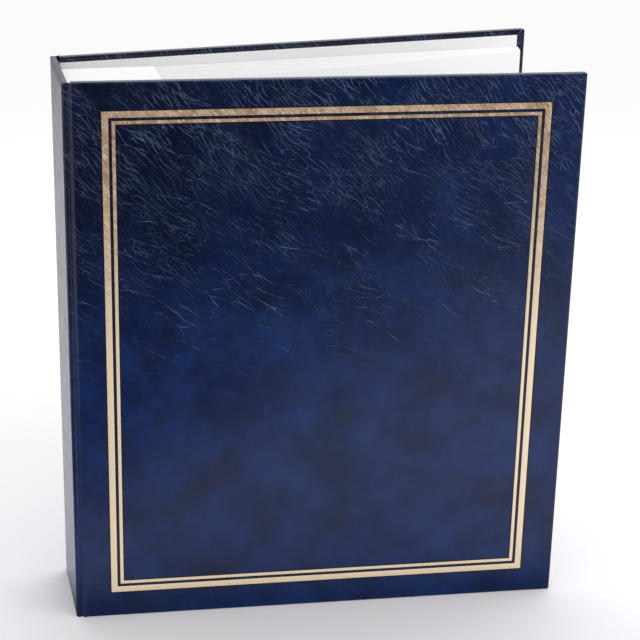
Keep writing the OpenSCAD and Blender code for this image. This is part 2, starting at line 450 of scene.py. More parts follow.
class Sketch:
    """A node tree that is written with short calls."""

    def __init__(self, tree: bpy.types.NodeTree) -> None:
        """Takes the tree to write in."""
        self.tree = tree

    def node(self, kind: str, inputs: Optional[dict[Any, Value]] = None, **settings: Any) -> bpy.types.Node:
        """Adds a node.

        Args:
            kind: The node's type.
            inputs: A value or another node's output for each named or numbered input.
            settings: The node's own options.

        Returns:
            The node.
        """
        made = self.tree.nodes.new(kind)
        for name, value in settings.items():
            setattr(made, name, value)
        for name, value in (inputs or {}).items():
            self.feed(made.inputs[name], value)
        return made

    def feed(self, socket: Socket, value: Value) -> None:
        """Links a socket to an output, or sets its value.

        Args:
            socket: The input.
            value: Another node's output, or the value itself.
        """
        if isinstance(value, Socket):
            self.tree.links.new(value, socket)
        elif socket.type == "RGBA" and len(value) == 3:
            socket.default_value = (*value, 1.0)
        else:
            socket.default_value = value

    def maths(self, operation: str, *values: Value) -> Socket:
        """One sum on numbers."""
        return self.node("ShaderNodeMath", dict(enumerate(values)), operation=operation).outputs[0]

    def times(self, first: Value, second: Value) -> Socket:
        """The product of two numbers."""
        return self.maths("MULTIPLY", first, second)

    def more(self, value: Value, factor: Value, start: Value) -> Socket:
        """A start and, on top of it, a factor times a value."""
        return self.maths("MULTIPLY_ADD", value, factor, start)

    def most(self, first: Value, second: Value) -> Socket:
        """The larger of two numbers."""
        return self.maths("MAXIMUM", first, second)

    def vector(self, operation: str, *values: Value) -> Socket:
        """One sum on vectors."""
        made = self.node("ShaderNodeVectorMath", dict(enumerate(values)), operation=operation)
        return made.outputs["Value" if operation in ("LENGTH", "DOT_PRODUCT") else "Vector"]

    def axis(self, place: Value, number: int) -> Socket:
        """One coordinate of a vector: 0 for x, 1 for y, 2 for z."""
        return self.node("ShaderNodeSeparateXYZ", {0: place}).outputs[number]

    def ramp(self, value: Value, low: float, high: float, start: float = 0.0, end: float = 1.0) -> Socket:
        """A smooth step from start, at low, to end, at high."""
        inputs = {"Value": value, "From Min": low, "From Max": high, "To Min": start, "To Max": end}
        return self.node("ShaderNodeMapRange", inputs, interpolation_type="SMOOTHSTEP").outputs[0]

    def blend(self, factor: Value, first: Value, second: Value) -> Socket:
        """Mixes two colours."""
        return self.node("ShaderNodeMix", {0: factor, 6: first, 7: second}, data_type="RGBA").outputs[2]

    def speckle(self, place: Value, scale: float, detail: float, rough: float, twist: float = 0.0) -> Socket:
        """Soft noise from 0 to 1."""
        inputs = {"Vector": place, "Scale": scale, "Detail": detail, "Roughness": rough, "Distortion": twist}
        return self.node("ShaderNodeTexNoise", inputs).outputs[0]

    def stretched(self, place: Value, turn: float, cell: Spot, shift: Spot = (0.0, 0.0, 0.0)) -> Socket:
        """Turns a pattern in the cover's plane and stretches it.

        Args:
            place: Where the pattern is read, in metres.
            turn: How far the pattern falls towards the right, in degrees.
            cell: The size of one unit of the pattern along it, across it and through it, in metres.
            shift: Moves the pattern, in metres.

        Returns:
            The pattern's own coordinates.
        """
        angles = (0.0, 0.0, math.radians(-turn))
        inputs = {"Vector": place, "Location": shift, "Rotation": angles, "Scale": cell}
        return self.node("ShaderNodeMapping", inputs, vector_type="TEXTURE").outputs[0]


class Finish(Sketch):
    """A material that is written with short calls."""

    def __init__(self, name: str) -> None:
        """Starts an empty material.

        Args:
            name: The material's name.
        """
        self.material = bpy.data.materials.new(name)
        self.material.use_nodes = True
        super().__init__(self.material.node_tree)
        self.tree.nodes.clear()

    def place(self) -> Socket:
        """The point's place on its own piece."""
        return self.node("ShaderNodeTexCoord").outputs["Object"]

    def noted(self, name: str, output: str = "Fac") -> Socket:
        """A number that the mesh holds for each point, or a vector from the output Vector."""
        return self.node("ShaderNodeAttribute", attribute_name=name).outputs[output]

    def relief(self, height: Value, depth: float, strength: float) -> Socket:
        """Bump from a height of 0 to 1 that stands for a depth in metres."""
        inputs = {"Height": height, "Distance": depth, "Strength": strength}
        return self.node("ShaderNodeBump", inputs).outputs[0]

    def surface(self, inputs: dict[str, Value]) -> bpy.types.Material:
        """Ends the material in one shader.

        Args:
            inputs: A value or a node's output for each of the shader's inputs.

        Returns:
            The material.
        """
        shader = self.node("ShaderNodeBsdfPrincipled", inputs)
        self.node("ShaderNodeOutputMaterial", {"Surface": shader.outputs[0]})
        return self.material


# Finishes


@dataclass(frozen=True)
class Folds:
    """One set of thin folds in the cloth: the edges of long flat cells that lean one way.

    The sizes are metres on the cloth. The folds show from the height low and are full at the height high.
    """

    lean: float
    length: float
    width: float
    line: float
    strength: float
    low: float
    high: float
    cover: float
    shift: float
    patch: Spot = (0.034, 0.016, 1.0)
    gap: Spot = (0.0090, 0.0024, 1.0)
    gaps: Pair = (0.38, 0.66)
    feather: float = 0.15
    patch_fade: float = 0.10

    def crests(self, finish: Finish, place: Value, bent: Value) -> Socket:
        """Lines of one width, broken and gathered in patches.

        Args:
            finish: The material to write in.
            place: The place on the cloth.
            bent: The same place, moved a little so that the folds wander.

        Returns:
            0 between the folds, and up to the set's strength on their crests.
        """
        move = (self.shift, self.shift * 0.7, 0.0)
        spot = finish.stretched(bent, self.lean, (self.length, self.width, 1.0), move)
        cells = {"Vector": spot, "Scale": 1.0, "Randomness": 1.0}
        near, far = (finish.node("ShaderNodeTexVoronoi", cells, voronoi_dimensions="2D",
                                 feature=which).outputs["Position"] for which in ("F1", "F2"))
        across = finish.vector("SUBTRACT", far, near)
        middle = finish.vector("MULTIPLY_ADD", across, (0.5, 0.5, 0.5), near)
        reach = finish.vector("DOT_PRODUCT", finish.vector("SUBTRACT", middle, spot), across)
        per_cell = (1 / self.length, 1 / self.width, 0.0)
        real = finish.vector("LENGTH", finish.vector("MULTIPLY", across, per_cell))
        # Each crest line gives the relief and, in the leatherette's colour, a painted glint. Both grow
        # towards the head.
        glint_crest = finish.ramp(finish.maths("DIVIDE", reach, real), self.line, self.line * self.feather)
        patch = finish.speckle(finish.stretched(place, self.lean, self.patch, move), 1.0, 2.0, 0.6)
        broken = finish.speckle(finish.stretched(bent, self.lean, self.gap, move), 1.0, 2.5, 0.6)
        shown = finish.times(finish.ramp(patch, self.cover, self.cover + self.patch_fade),
                             finish.ramp(broken, *self.gaps))
        headwards = finish.ramp(finish.axis(place, 1), self.low, self.high, 0.0, self.strength)
        return finish.times(glint_crest, finish.times(shown, headwards))


@dataclass(frozen=True)
class Crinkle:
    """The crumpled grain of the cloth, as several sets of folds. In the leatherette their crests are also
    painted lighter, as glints.
    """

    sets: tuple[Folds, ...] = (
        Folds(51.0, 0.0160, 0.0023, 0.00027, 1.00, 0.225, 0.300, 0.43, 0.31),
        Folds(36.0, 0.0120, 0.0027, 0.00022, 0.75, 0.130, 0.250, 0.48, 0.57),
        Folds(25.0, 0.0300, 0.0066, 0.00029, 1.00, 0.130, 0.190, 0.50, 0.83),
        Folds(33.0, 0.0065, 0.0019, 0.00017, 0.55, 0.110, 0.250, 0.48, 1.13),
        Folds(41.0, 0.0052, 0.0015, 0.00016, 0.26, 0.190, 0.270, 0.42, 1.71),
    )
    wander: float = 0.022
    bends: float = 20.0

    def crests(self, finish: Finish, place: Value) -> Socket:
        """All the folds together.

        Args:
            finish: The material to write in.
            place: The place on the cloth.

        Returns:
            0 between the folds, and up to 1 on their crests.
        """
        inputs = {"Vector": place, "Scale": self.bends, "Detail": 2.5, "Roughness": 0.42}
        noisy = finish.node("ShaderNodeTexNoise", inputs).outputs[1]
        offset = finish.vector("SUBTRACT", noisy, (0.5, 0.5, 0.5))
        bent = finish.vector("MULTIPLY_ADD", offset, (self.wander, self.wander, 0.0), place)
        total = self.sets[0].crests(finish, place, bent)
        for one in self.sets[1:]:
            total = finish.most(total, one.crests(finish, place, bent))
        return total


@dataclass(frozen=True)
class Cloud:
    """Soft patches of another colour in the cloth: their grain, how they show and how strongly."""

    colour: Colour
    shift: Spot
    scale: float
    rough: float
    shown: Pair
    strength: float

    def over(self, finish: Finish, place: Value, base: Value) -> Socket:
        """Lays the patches over a colour.

        Args:
            finish: The material to write in.
            place: The place on the cloth.
            base: The colour below.

        Returns:
            The clouded colour.
        """
        moved = finish.stretched(place, 0.0, (1.0, 1.0, 1.0), self.shift)
        patches = finish.ramp(finish.speckle(moved, self.scale, 4.0, self.rough), *self.shown)
        return finish.blend(finish.times(patches, self.strength), base, self.colour)


@dataclass(frozen=True)
class Leatherette:
    """Blue plastic-coated cloth with clouded colour, crumpled grain and a soft shine. Its colour also holds
    painted light: shade towards the head and the spine, glints on the fold crests and sheen on scuffed edges.
    """

    # The darkest blue below darkens random flecks, and it is painted shade towards the head and the spine.
    fleck_and_shade_navy: Colour = (0.0006, 0.0030, 0.0200)
    deep: Colour = (0.0018, 0.0112, 0.0620)
    blue: Colour = (0.0036, 0.0235, 0.1130)
    # The fold crests' colour is a painted glint.
    glint_crest: Colour = (0.098, 0.142, 0.250)
    # A lighter blue for scuffed places. It also paints the sheen of edges that catch the light.
    worn_sheen: Colour = (0.052, 0.068, 0.140)
    # A near-black that darkens the cloth by the gold lines: the hot stamp's darkening and painted shade along
    # the grooves.
    scorch_and_shade: Colour = (0.0035, 0.0022, 0.0030)
    clouds: tuple[Cloud, ...] = (
        Cloud((0.0044, 0.0340, 0.1580), (0.7, 0.2, 0.0), 30.0, 0.60, (0.50, 0.70), 0.38),
        Cloud((0.0068, 0.0074, 0.0330), (0.4, 0.1, 0.0), 36.0, 0.60, (0.50, 0.68), 0.38),
        Cloud((0.0030, 0.0096, 0.0300), (0.1, 0.9, 0.0), 32.0, 0.62, (0.52, 0.68), 0.50),
    )
    crinkle: Crinkle = Crinkle()
    # Heights over which the painted shade comes in.
    painted_shade_from: Pair = (0.13, 0.27)
    rough: float = 0.26
    relief: float = 0.00022

    def build(self) -> bpy.types.Material:
        """Makes the material.

        Returns:
            The leatherette.
        """
        f = Finish("blue leatherette")
        place = f.noted("cloth", "Vector")
        height, stamped = f.axis(place, 1), f.noted("stamped")
        fleck = f.ramp(f.speckle(place, 75.0, 3.0, 0.6), 0.38, 0.64)
        base = f.blend(f.ramp(f.speckle(place, 27.0, 5.0, 0.64, 0.4), 0.34, 0.64), self.deep, self.blue)
        for cloud in self.clouds:
            base = cloud.over(f, place, base)
        # Painted shade: the colour darkens towards the head and the spine, where the light falls off.
        spinewards = f.ramp(f.axis(place, 0), 0.26, -0.04, 0.42, 0.92)
        painted_shade = f.times(f.ramp(height, *self.painted_shade_from), spinewards)
        base = f.blend(f.more(fleck, 0.12, painted_shade), base, self.fleck_and_shade_navy)
        folds = self.crinkle.crests(f, place)
        # Painted highlight: the fold crests are coloured lighter, as glints.
        base = f.blend(f.times(folds, 0.90), base, self.glint_crest)
        # Scuffing and painted sheen: rims, corners and the joint's slope are lightened, partly as real
        # scuffing and partly as a painted highlight.
        wear_and_sheen = f.times(f.noted("wear_and_sheen"), f.ramp(f.speckle(place, 240.0, 3.0, 0.6), 0.35, 0.62))
        base = f.blend(f.times(wear_and_sheen, 0.30), base, self.worn_sheen)
        # Hot-stamp darkening, with painted shade along the grooves beside the gold lines.
        base = f.blend(f.times(stamped, 0.85), base, self.scorch_and_shade)
        rough = f.more(wear_and_sheen, 0.12, f.more(stamped, 0.25, f.more(fleck, 0.04, self.rough)))
        fine = f.times(f.speckle(place, 850.0, 2.0, 0.6), f.ramp(height, 0.05, 0.30, 0.10, 0.16))
        return f.surface({
            "Base Color": base, "Roughness": rough, "IOR": 1.38,
            "Normal": f.relief(f.maths("ADD", folds, fine), self.relief, 0.8),
            "Coat Weight": 0.16, "Coat Roughness": 0.22, "Coat IOR": 1.5,
        })


@dataclass(frozen=True)
class GoldFoil:
    """Stamped gold foil with the grain of the cloth showing through it, most of all towards the head, where
    its colour is also painted darker as shade.
    """

    bright: Colour = (1.0, 0.820, 0.565)
    # A darker colour that paints shade on the foil towards the head.
    shaded_dull: Colour = (0.45, 0.285, 0.188)
    bare: Colour = (0.20, 0.13, 0.10)
    crinkle: Crinkle = Crinkle()
    metal: float = 0.28
    rough: float = 0.38
    relief: float = 0.00018

    def build(self) -> bpy.types.Material:
        """Makes the material.

        Returns:
            The foil.
        """
        f = Finish("gold foil")
        place = f.noted("cloth", "Vector")
        height = f.axis(place, 1)
        headwards = f.ramp(height, 0.15, 0.29, 0.05, 1.0)
        patch = f.ramp(f.speckle(place, 160.0, 3.0, 0.6), 0.35, 0.65)
        folds = f.times(self.crinkle.crests(f, place), headwards)
        pits = f.times(f.ramp(f.speckle(place, 1100.0, 3.0, 0.65), 0.52, 0.66), headwards)
        grain = f.speckle(f.stretched(place, 52.0, (0.0050, 0.0011, 1.0)), 1.0, 3.0, 0.6)
        glint = f.times(f.ramp(grain, 0.46, 0.34), headwards)
        streak = f.times(f.ramp(grain, 0.54, 0.66), headwards)
        # Painted shade: the foil darkens towards the head, standing in for the darker reflection there.
        base = f.blend(headwards, self.bright, self.shaded_dull)
        base = f.blend(f.times(patch, 0.35), base, self.bright)
        base = f.blend(f.times(glint, 0.7), base, self.bright)
        base = f.blend(f.times(f.most(pits, streak), 0.60), base, self.bare)
        fine = f.times(f.speckle(place, 700.0, 2.0, 0.6), f.ramp(height, 0.05, 0.30, 0.12, 0.40))
        return f.surface({
            "Base Color": base, "Metallic": self.metal, "Roughness": f.more(patch, 0.10, self.rough),
            "Normal": f.relief(f.maths("ADD", folds, fine), self.relief, 0.8),
        })


@dataclass(frozen=True)
class Paper:
    """White paper or card, with fine fibres and a faintly toned surface."""

    name: str
    white: Colour = (0.93, 0.925, 0.935)
    shade: Colour = (0.89, 0.885, 0.90)
    tooth: float = 0.00004
    rough: float = 0.62

    def build(self) -> bpy.types.Material:
        """Makes the material.

        Returns:
            The paper.
        """
        f = Finish(self.name)
        place = f.place()
        tone = f.ramp(f.speckle(place, 9.0, 3.0, 0.6), 0.35, 0.70)
        fibre = f.speckle(place, 1500.0, 3.0, 0.7)
        base = f.blend(f.times(tone, 0.5), self.white, self.shade)
        base = f.blend(f.times(f.ramp(fibre, 0.55, 0.75), 0.18), base, self.shade)
        return f.surface({
            "Base Color": base, "Roughness": f.more(fibre, 0.12, self.rough),
            "Normal": f.relief(fibre, self.tooth, 0.5), "Sheen Weight": 0.05,
        })


@dataclass(frozen=True)
class Greyboard:
    """Pressed grey board with flecks of fibre."""

    grey: Colour = (0.27, 0.245, 0.21)
    fleck: Colour = (0.13, 0.115, 0.10)

    def build(self) -> bpy.types.Material:
        """Makes the material.

        Returns:
            The board.
        """
        f = Finish("grey board")
        fibre = f.speckle(f.stretched(f.place(), 10.0, (0.004, 0.0008, 0.0008)), 1.0, 4.0, 0.7)
        base = f.blend(f.ramp(fibre, 0.50, 0.72), self.grey, self.fleck)
        return f.surface({"Base Color": base, "Roughness": 0.9, "Normal": f.relief(fibre, 0.0001, 0.6)})


@dataclass(frozen=True)
class Foam:
    """Pale fine-celled foam."""

    pale: Colour = (0.66, 0.65, 0.60)
    cell: Colour = (0.50, 0.49, 0.45)

    def build(self) -> bpy.types.Material:
        """Makes the material.

        Returns:
            The foam.
        """
        f = Finish("foam")
        cells = f.node("ShaderNodeTexVoronoi", {"Vector": f.place(), "Scale": 1800.0}).outputs["Distance"]
        base = f.blend(f.ramp(cells, 0.2, 0.7), self.cell, self.pale)
        return f.surface({"Base Color": base, "Roughness": 0.95, "Normal": f.relief(cells, 0.00015, 0.6)})


@dataclass(frozen=True)
class Brass:
    """Turned brass with fine scratches and a little tarnish."""

    yellow: Colour = (0.78, 0.60, 0.32)
    tarnish: Colour = (0.36, 0.26, 0.14)

    def build(self) -> bpy.types.Material:
        """Makes the material.

        Returns:
            The brass.
        """
        f = Finish("brass")
        place = f.place()
        spots = f.ramp(f.speckle(place, 420.0, 4.0, 0.65), 0.50, 0.72)
        scratch = f.speckle(f.stretched(place, 0.0, (0.004, 0.0002, 0.0002)), 1.0, 2.0, 0.6)
        return f.surface({
            "Base Color": f.blend(f.times(spots, 0.6), self.yellow, self.tarnish), "Metallic": 1.0,
            "Roughness": f.more(spots, 0.2, 0.24), "Normal": f.relief(scratch, 0.00002, 0.5),
        })


class Finishes:
    """Every material of the album, made once."""

    def __init__(self) -> None:
        """Builds the materials."""
        self.leatherette = Leatherette().build()
        self.foil = GoldFoil().build()
        self.endpaper = Paper("endpaper").build()
        # Painted shade: the guard card is greyer than the leaf card, so that its well-lit tops don't outshine
        # the leaves' heads.
        self.card = Paper("white card", (0.73, 0.725, 0.74), (0.68, 0.675, 0.69)).build()
        self.leaf = Paper("leaf card", (0.94, 0.935, 0.945), (0.91, 0.905, 0.915), 0.00003).build()
        self.board = Greyboard().build()
        self.foam = Foam().build()
        self.brass = Brass().build()


# The case


@dataclass(frozen=True)
class Ring:
    """One line round a cover: how far in from the outline it runs, and how deep."""

    inset: float
    depth: float
    joint_inset: float
    joint_depth: float


@dataclass(frozen=True)
class CoverPlan:
    """The grid and the rounded corners that all the layers of a cover share."""

    left: float
    right: float
    foot: float
    head: float
    edge: float
    corner_r: float
    step: float = 2.6
    arc_reach: float = 1.5
    far: float = 32.0
    least_r: float = 0.3
    near: tuple[float, ...] = (0.4, 0.9, 1.5, 2.3, 3.4, 5.0)

    def grid(self, marks_x: Sequence[float] = (), marks_z: Sequence[float] = (),
             joint_edge: Optional[float] = None) -> tuple[np.ndarray, np.ndarray]:
        """Lines over the flat of the face, closer together near its corners.

        Args:
            marks_x: Places along x that get an upright line.
            marks_z: Heights that get a level line.
            joint_edge: How far in from the joint the grid starts, where that isn't the common edge.

        Returns:
            The upright lines and the level lines.
        """
        a = self.left + (self.edge if joint_edge is None else joint_edge)
        b = self.right - self.edge
        c, d = self.foot + self.edge, self.head - self.edge
        xs = lines(a, b, self.step, [*marks_x, *(b - n for n in self.near)])
        zs = lines(c, d, self.step, [*marks_z, *(c + n for n in self.near), *(d - n for n in self.near)])
        return xs, zs

    def ring(self, xs: np.ndarray, zs: np.ndarray, at: Ring, whole: bool = True) -> np.ndarray:
        """The points of one ring, clockwise from the head at the joint.

        Args:
            xs: The grid's upright lines.
            zs: The grid's level lines.
            at: Where the ring runs.
            whole: Goes on along the joint side to close the ring.

        Returns:
            Rows of x, y, z.
        """
        radius = max(self.corner_r - at.inset, self.least_r)
        left, right = self.left + at.joint_inset, self.right - at.inset
        foot, head = self.foot + at.inset, self.head - at.inset
        middle = (zs[0] + zs[-1]) / 2
        level = [(x, *self._corner_point(xs[-1] - x, at, radius, False)) for x in xs]
        points = [(right - dx if x > xs[0] else left, at.depth, head - dz) for x, dx, dz in level]
        for z in zs[-2::-1]:
            upper = z > middle
            dx, dz = self._corner_point(zs[-1] - z if upper else z - zs[0], at, radius, True)
            points.append((right - dx, at.depth, head - dz if upper else foot + dz))
        points += [(right - dx if x > xs[0] else left, at.depth, foot + dz) for x, dx, dz in level[-2::-1]]
        if whole:
            points += [(left, at.joint_depth, z) for z in zs[1:-1]]
        return np.array(points)

    def _corner_point(self, along: float, at: Ring, radius: float, upright: bool) -> Pair:
        """How far a ring's point lies from the ring's square corner.

        Args:
            along: How far from the grid's corner the point's grid line meets the grid's edge.
            at: Where the ring runs.
            radius: The ring's corner radius.
            upright: The point lies on an upright side of the ring.

        Returns:
            The distances in x and z.
        """
        if along <= self.arc_reach:
            angle = math.radians(45.0 * (1.0 - along / self.arc_reach))
            main, side = radius * (1 - math.sin(angle)), radius * (1 - math.cos(angle))
        else:
            share = min(1.0, (along - self.arc_reach) / (self.far - self.arc_reach))
            end = self.far + self.edge - at.inset
            main = radius + share * (end - radius) if share < 1.0 else along + self.edge - at.inset
            side = 0.0
        return (side, main) if upright else (main, side)


def face_edge(grid: np.ndarray) -> list[int]:
    """The point numbers round a face's grid.

    Args:
        grid: The face's point numbers, by upright line and level line.

    Returns:
        The numbers in the order of a ring.
    """
    top, right = grid[:, -1], grid[-1, ::-1]
    bottom, left = grid[::-1, 0], grid[0, 1:-1]
    return [int(n) for n in (*top, *right[1:], *bottom[1:], *left)]


@dataclass(frozen=True)
class GoldFrame:
    """Two plain gold lines round the front cover: where they run and how they are stamped."""

    from_spine: float = 20.5
    from_fore: float = 18.9
    from_ends: float = 15.6
    thick: float = 3.6
    gap: float = 1.7
    thin: float = 1.9
    groove: float = 0.13
    wall: float = 0.18
    foil: float = 0.1
    foil_edge: tuple[Pair, ...] = ((0.01, 0.0), (0.04, 0.7), (0.16, 1.0))
    # How far beside a line the darkening, partly painted shade, reaches.
    scorch_and_shade_reach: float = 1.1
    level_steps: int = 96
    upright_steps: int = 112

    def inset(self, x: np.ndarray, z: np.ndarray) -> np.ndarray:
        """How far inside the frame's outline a point of the cover lies."""
        return least(x - self.from_spine, CASE.cover_w - self.from_fore - x,
                     z - self.from_ends, CASE.height - self.from_ends - z)

    def bands(self) -> list[Pair]:
        """The two lines, as insets from and to."""
        start = self.thick + self.gap
        return [(0.0, self.thick), (start, start + self.thin)]

    def near_lines(self, x: np.ndarray, z: np.ndarray, reach: float) -> np.ndarray:
        """How close points of the cover are to a gold line.

        Args:
            x: Distance from the spine of each point.
            z: Height of each point.
            reach: How far beside a line it is still felt.

        Returns:
            1 on a line, falling to 0 at the reach.
        """
        inset = self.inset(x, z)
        felt = np.zeros(np.shape(inset))
        for a, b in self.bands():
            felt = np.maximum(felt, smooth(inset, a - reach, a) * smooth(inset, b + reach, b))
        return felt

    def sunk(self, x: np.ndarray, z: np.ndarray) -> np.ndarray:
        """Depth of the stamped grooves at a point of the cover."""
        return self.near_lines(x, z, self.wall) * self.groove

    def darkened(self, x: np.ndarray, z: np.ndarray) -> np.ndarray:
        """How strongly the cloth is darkened at a point, beside the lines and under them: partly the hot
        stamp's darkening and partly painted shade along the grooves.
        """
        return self.near_lines(x, z, self.scorch_and_shade_reach)

    def marks(self) -> tuple[list[float], list[float]]:
        """Grid lines that the grooves need.

        Returns:
            The upright lines and the level ones.
        """
        ends = [(end, way) for band in self.bands() for end, way in zip(band, (-1, 1))]
        insets = [end + way * reach for end, way in ends for reach in (0.0, self.wall, self.scorch_and_shade_reach)]
        upright = [self.from_spine + i for i in insets] + [CASE.cover_w - self.from_fore - i for i in insets]
        level = [self.from_ends + i for i in insets] + [CASE.height - self.from_ends - i for i in insets]
        return upright, level

    def outline(self, inset: float) -> np.ndarray:
        """A line round the cover at one inset from the frame's outline.

        Args:
            inset: The inset.

        Returns:
            Rows of x and z, clockwise from the head at the joint.
        """
        x0, x1 = self.from_spine + inset, CASE.cover_w - self.from_fore - inset
        z0, z1 = self.from_ends + inset, CASE.height - self.from_ends - inset
        level = np.linspace(x0, x1, self.level_steps + 1)
        upright = np.linspace(z0, z1, self.upright_steps + 1)
        return np.array([(x, z1) for x in level[:-1]] + [(x1, z) for z in upright[:0:-1]]
                        + [(x, z0) for x in level[:0:-1]] + [(x0, z) for z in upright[:-1]])


@dataclass
class Cover:
    """One padded cover: leatherette with turned-in edges, foam, board and endpaper."""

    side: Side
    finishes: Finishes
    corner_r: float = 0.8
    sink: float = 0.06
    sink_over: float = 12.0
    fold: float = 0.5
    turn_rows: tuple[float, ...] = (2.5, 6.0, 10.5)
    foam_gap: float = 0.46
    foam_soft: float = 0.75
    foam_corner: float = 2.0
    foam_face: float = -0.32
    foam_back: float = 0.9
    foam_step: float = 7.0
    paper_t: float = 0.2
    paper_lift: float = 0.01
    paper_ease: float = 1.1
    paper_step: float = 8.0
    paper_joint: float = 1.5
    paper_fore: float = 5.0
    paper_ends: float = 3.0
    seed: float = field(init=False)
    gold: Optional[GoldFrame] = field(init=False)
    plan: CoverPlan = field(init=False)

    def __post_init__(self) -> None:
        """Works out what depends on the side of the case."""
        front = self.side is Side.FRONT
        self.seed = 3.1 if front else 8.7
        self.gold = GoldFrame() if front else None
        self.plan = CoverPlan(CASE.joint_x, CASE.cover_w, 0.0, CASE.height, CASE.edge_round, self.corner_r)

    def face_depth(self, x: np.ndarray, z: np.ndarray) -> np.ndarray:
        """Depth of the cover's outer face, with the padding's ripple and the stamped grooves.

        Args:
            x: Distance from the spine of each point.
            z: Height of each point.

        Returns:
            The depth.
        """
        edge = least(x - CASE.joint_x - CASE.cover_proud, CASE.cover_w - CASE.edge_round - x,
                     z - CASE.edge_round, CASE.height - CASE.edge_round - z)
        sunk = (PADDING.ripple(x, z, self.seed) + self.sink) * smooth(edge, 0.0, self.sink_over)
        depth = -CASE.cover_proud + sunk
        return depth + self.gold.sunk(x, z) if self.gold else depth

    def rings(self) -> tuple[list[Ring], list[Ring]]:
        """The lines of the leatherette past the rim of its face.

        Returns:
            The rings over the edge, which are whole, and those of the turn-in, which leave out the joint.
        """
        soft, joint = CASE.edge_round, CASE.cover_proud
        wall = CASE.cover_in - self.fold
        edge = [Ring(soft * (1 - s), -joint + soft * (1 - c), joint * (1 - s), -joint + joint * (1 - c))
                for s, c in arc(15, 30, 45, 60, 75, 90)]
        for share in (0.5, 1.0):
            depth = (soft - joint) * (1 - share) + wall * share
            edge.append(Ring(0.0, depth, 0.0, share * (CASE.cover_in - CASE.skin_t)))
        turned = [Ring(self.fold * (1 - c), wall + self.fold * s, 0.0, 0.0) for s, c in arc(30, 60, 90)]
        turned += [Ring(inset, CASE.cover_in, 0.0, 0.0) for inset in (*self.turn_rows, CASE.turn_in)]
        return edge, turned

    def skin(self) -> bpy.types.Object:
        """The leatherette: face, soft edges and mitred turn-ins.

        Returns:
            The piece.
        """
        marks_x, marks_z = self.gold.marks() if self.gold else ([], [])
        xs, zs = self.plan.grid(marks_x, marks_z, CASE.cover_proud)
        x, z = np.meshgrid(xs, zs, indexing="ij")
        proud = CASE.cover_proud
        face = np.stack([x, self.face_depth(x, z), z], axis=-1).reshape(-1, 3)
        rim = face_edge(np.arange(x.size).reshape(x.shape))
        face[rim] = self.plan.ring(xs, zs, Ring(CASE.edge_round, -proud, proud, -proud))
        weave = Weave()
        numbers = weave.add(face, self.side.on_sheet(face[:, [0, 2]]))
        weave.sheet(numbers.reshape(x.shape))
        before = face[rim]
        away = (self.plan.ring(xs, zs, Ring(0.0, 0.0, 0.0, 0.0)) - before)[:, [0, 2]]
        away /= np.maximum(np.linalg.norm(away, axis=1), 1e-9)[:, None]
        flat, last = before[:, [0, 2]], rim
        edge, turned = self.rings()
        for k, at in enumerate(edge + turned):
            whole = k < len(edge)
            points = self.plan.ring(xs, zs, at, whole)
            kept = len(points)
            step = np.linalg.norm(points - before[:kept], axis=1)
            flat = flat[:kept] + away[:kept] * step[:, None]
            numbers = weave.add(points, self.side.on_sheet(flat))
            weave.band(last[:kept], numbers, whole)
            before, last = points, numbers
        name, mirrored = f"{self.side.value}_cover_leatherette", self.side is Side.BACK
        piece = weave.piece(name, self.side.swung, closed=False, flip=mirrored)
        thicken(piece, CASE.skin_t)
        self._note_places(piece)
        return dress(piece, self.finishes.leatherette)

    def _note_places(self, piece: bpy.types.Object) -> None:
        """Stores what the leatherette's material reads: scuffing with a painted sheen on the rims, and the
        hot stamp's darkening with painted shade beside the gold lines.

        Args:
            piece: The leatherette.
        """
        x, y, z = self.side.unswung(points_of(piece)).T
        rim = least(CASE.cover_w - x, z, CASE.height - z)
        corner = np.hypot(CASE.cover_w - x, np.minimum(z, CASE.height - z))
        # Rims and corners lighten, partly as scuffing and partly as a painted highlight on the rounded edges.
        rubbed_and_lit = np.maximum(0.55 * smooth(rim, 1.8, 0.2), 0.6 * smooth(corner, 6.0, 1.0))
        outside, outer_face = smooth(y, 3.9, 3.2), smooth(y, 0.2, -0.4)
        note(piece, "wear_and_sheen", rubbed_and_lit * outside)
        note(piece, "stamped", self.gold.darkened(x, z) * outer_face if self.gold else np.zeros(len(x)))

    def foam(self) -> bpy.types.Object:
        """The foam sheet under the leatherette, with soft edges.

        Returns:
            The piece.
        """
        gap, soft, top = self.foam_gap, self.foam_soft, self.foam_face
        plan = CoverPlan(CASE.joint_x + gap, CASE.cover_w - gap, gap, CASE.height - gap, soft,
                         self.foam_corner, self.foam_step)
        xs, zs = plan.grid()
        x, z = np.meshgrid(xs, zs, indexing="ij")
        weave = Weave()
        face = weave.add(np.stack([x, top + PADDING.ripple(x, z, self.seed), z], axis=-1))
        weave.sheet(face)
        last = face_edge(face)
        for s, c in arc(30, 60, 90):
            inset, depth = soft * (1 - s), top + soft * (1 - c)
            ring = weave.add(plan.ring(xs, zs, Ring(inset, depth, inset, depth)))
            weave.band(last, ring)
            last = ring
        under = weave.add(np.stack([x, np.full(x.shape, self.foam_back), z], axis=-1))
        weave.sheet(under, flip=True)
        weave.band(last, face_edge(under))
        return dress(weave.piece(f"{self.side.value}_foam", self.side.swung), self.finishes.foam)

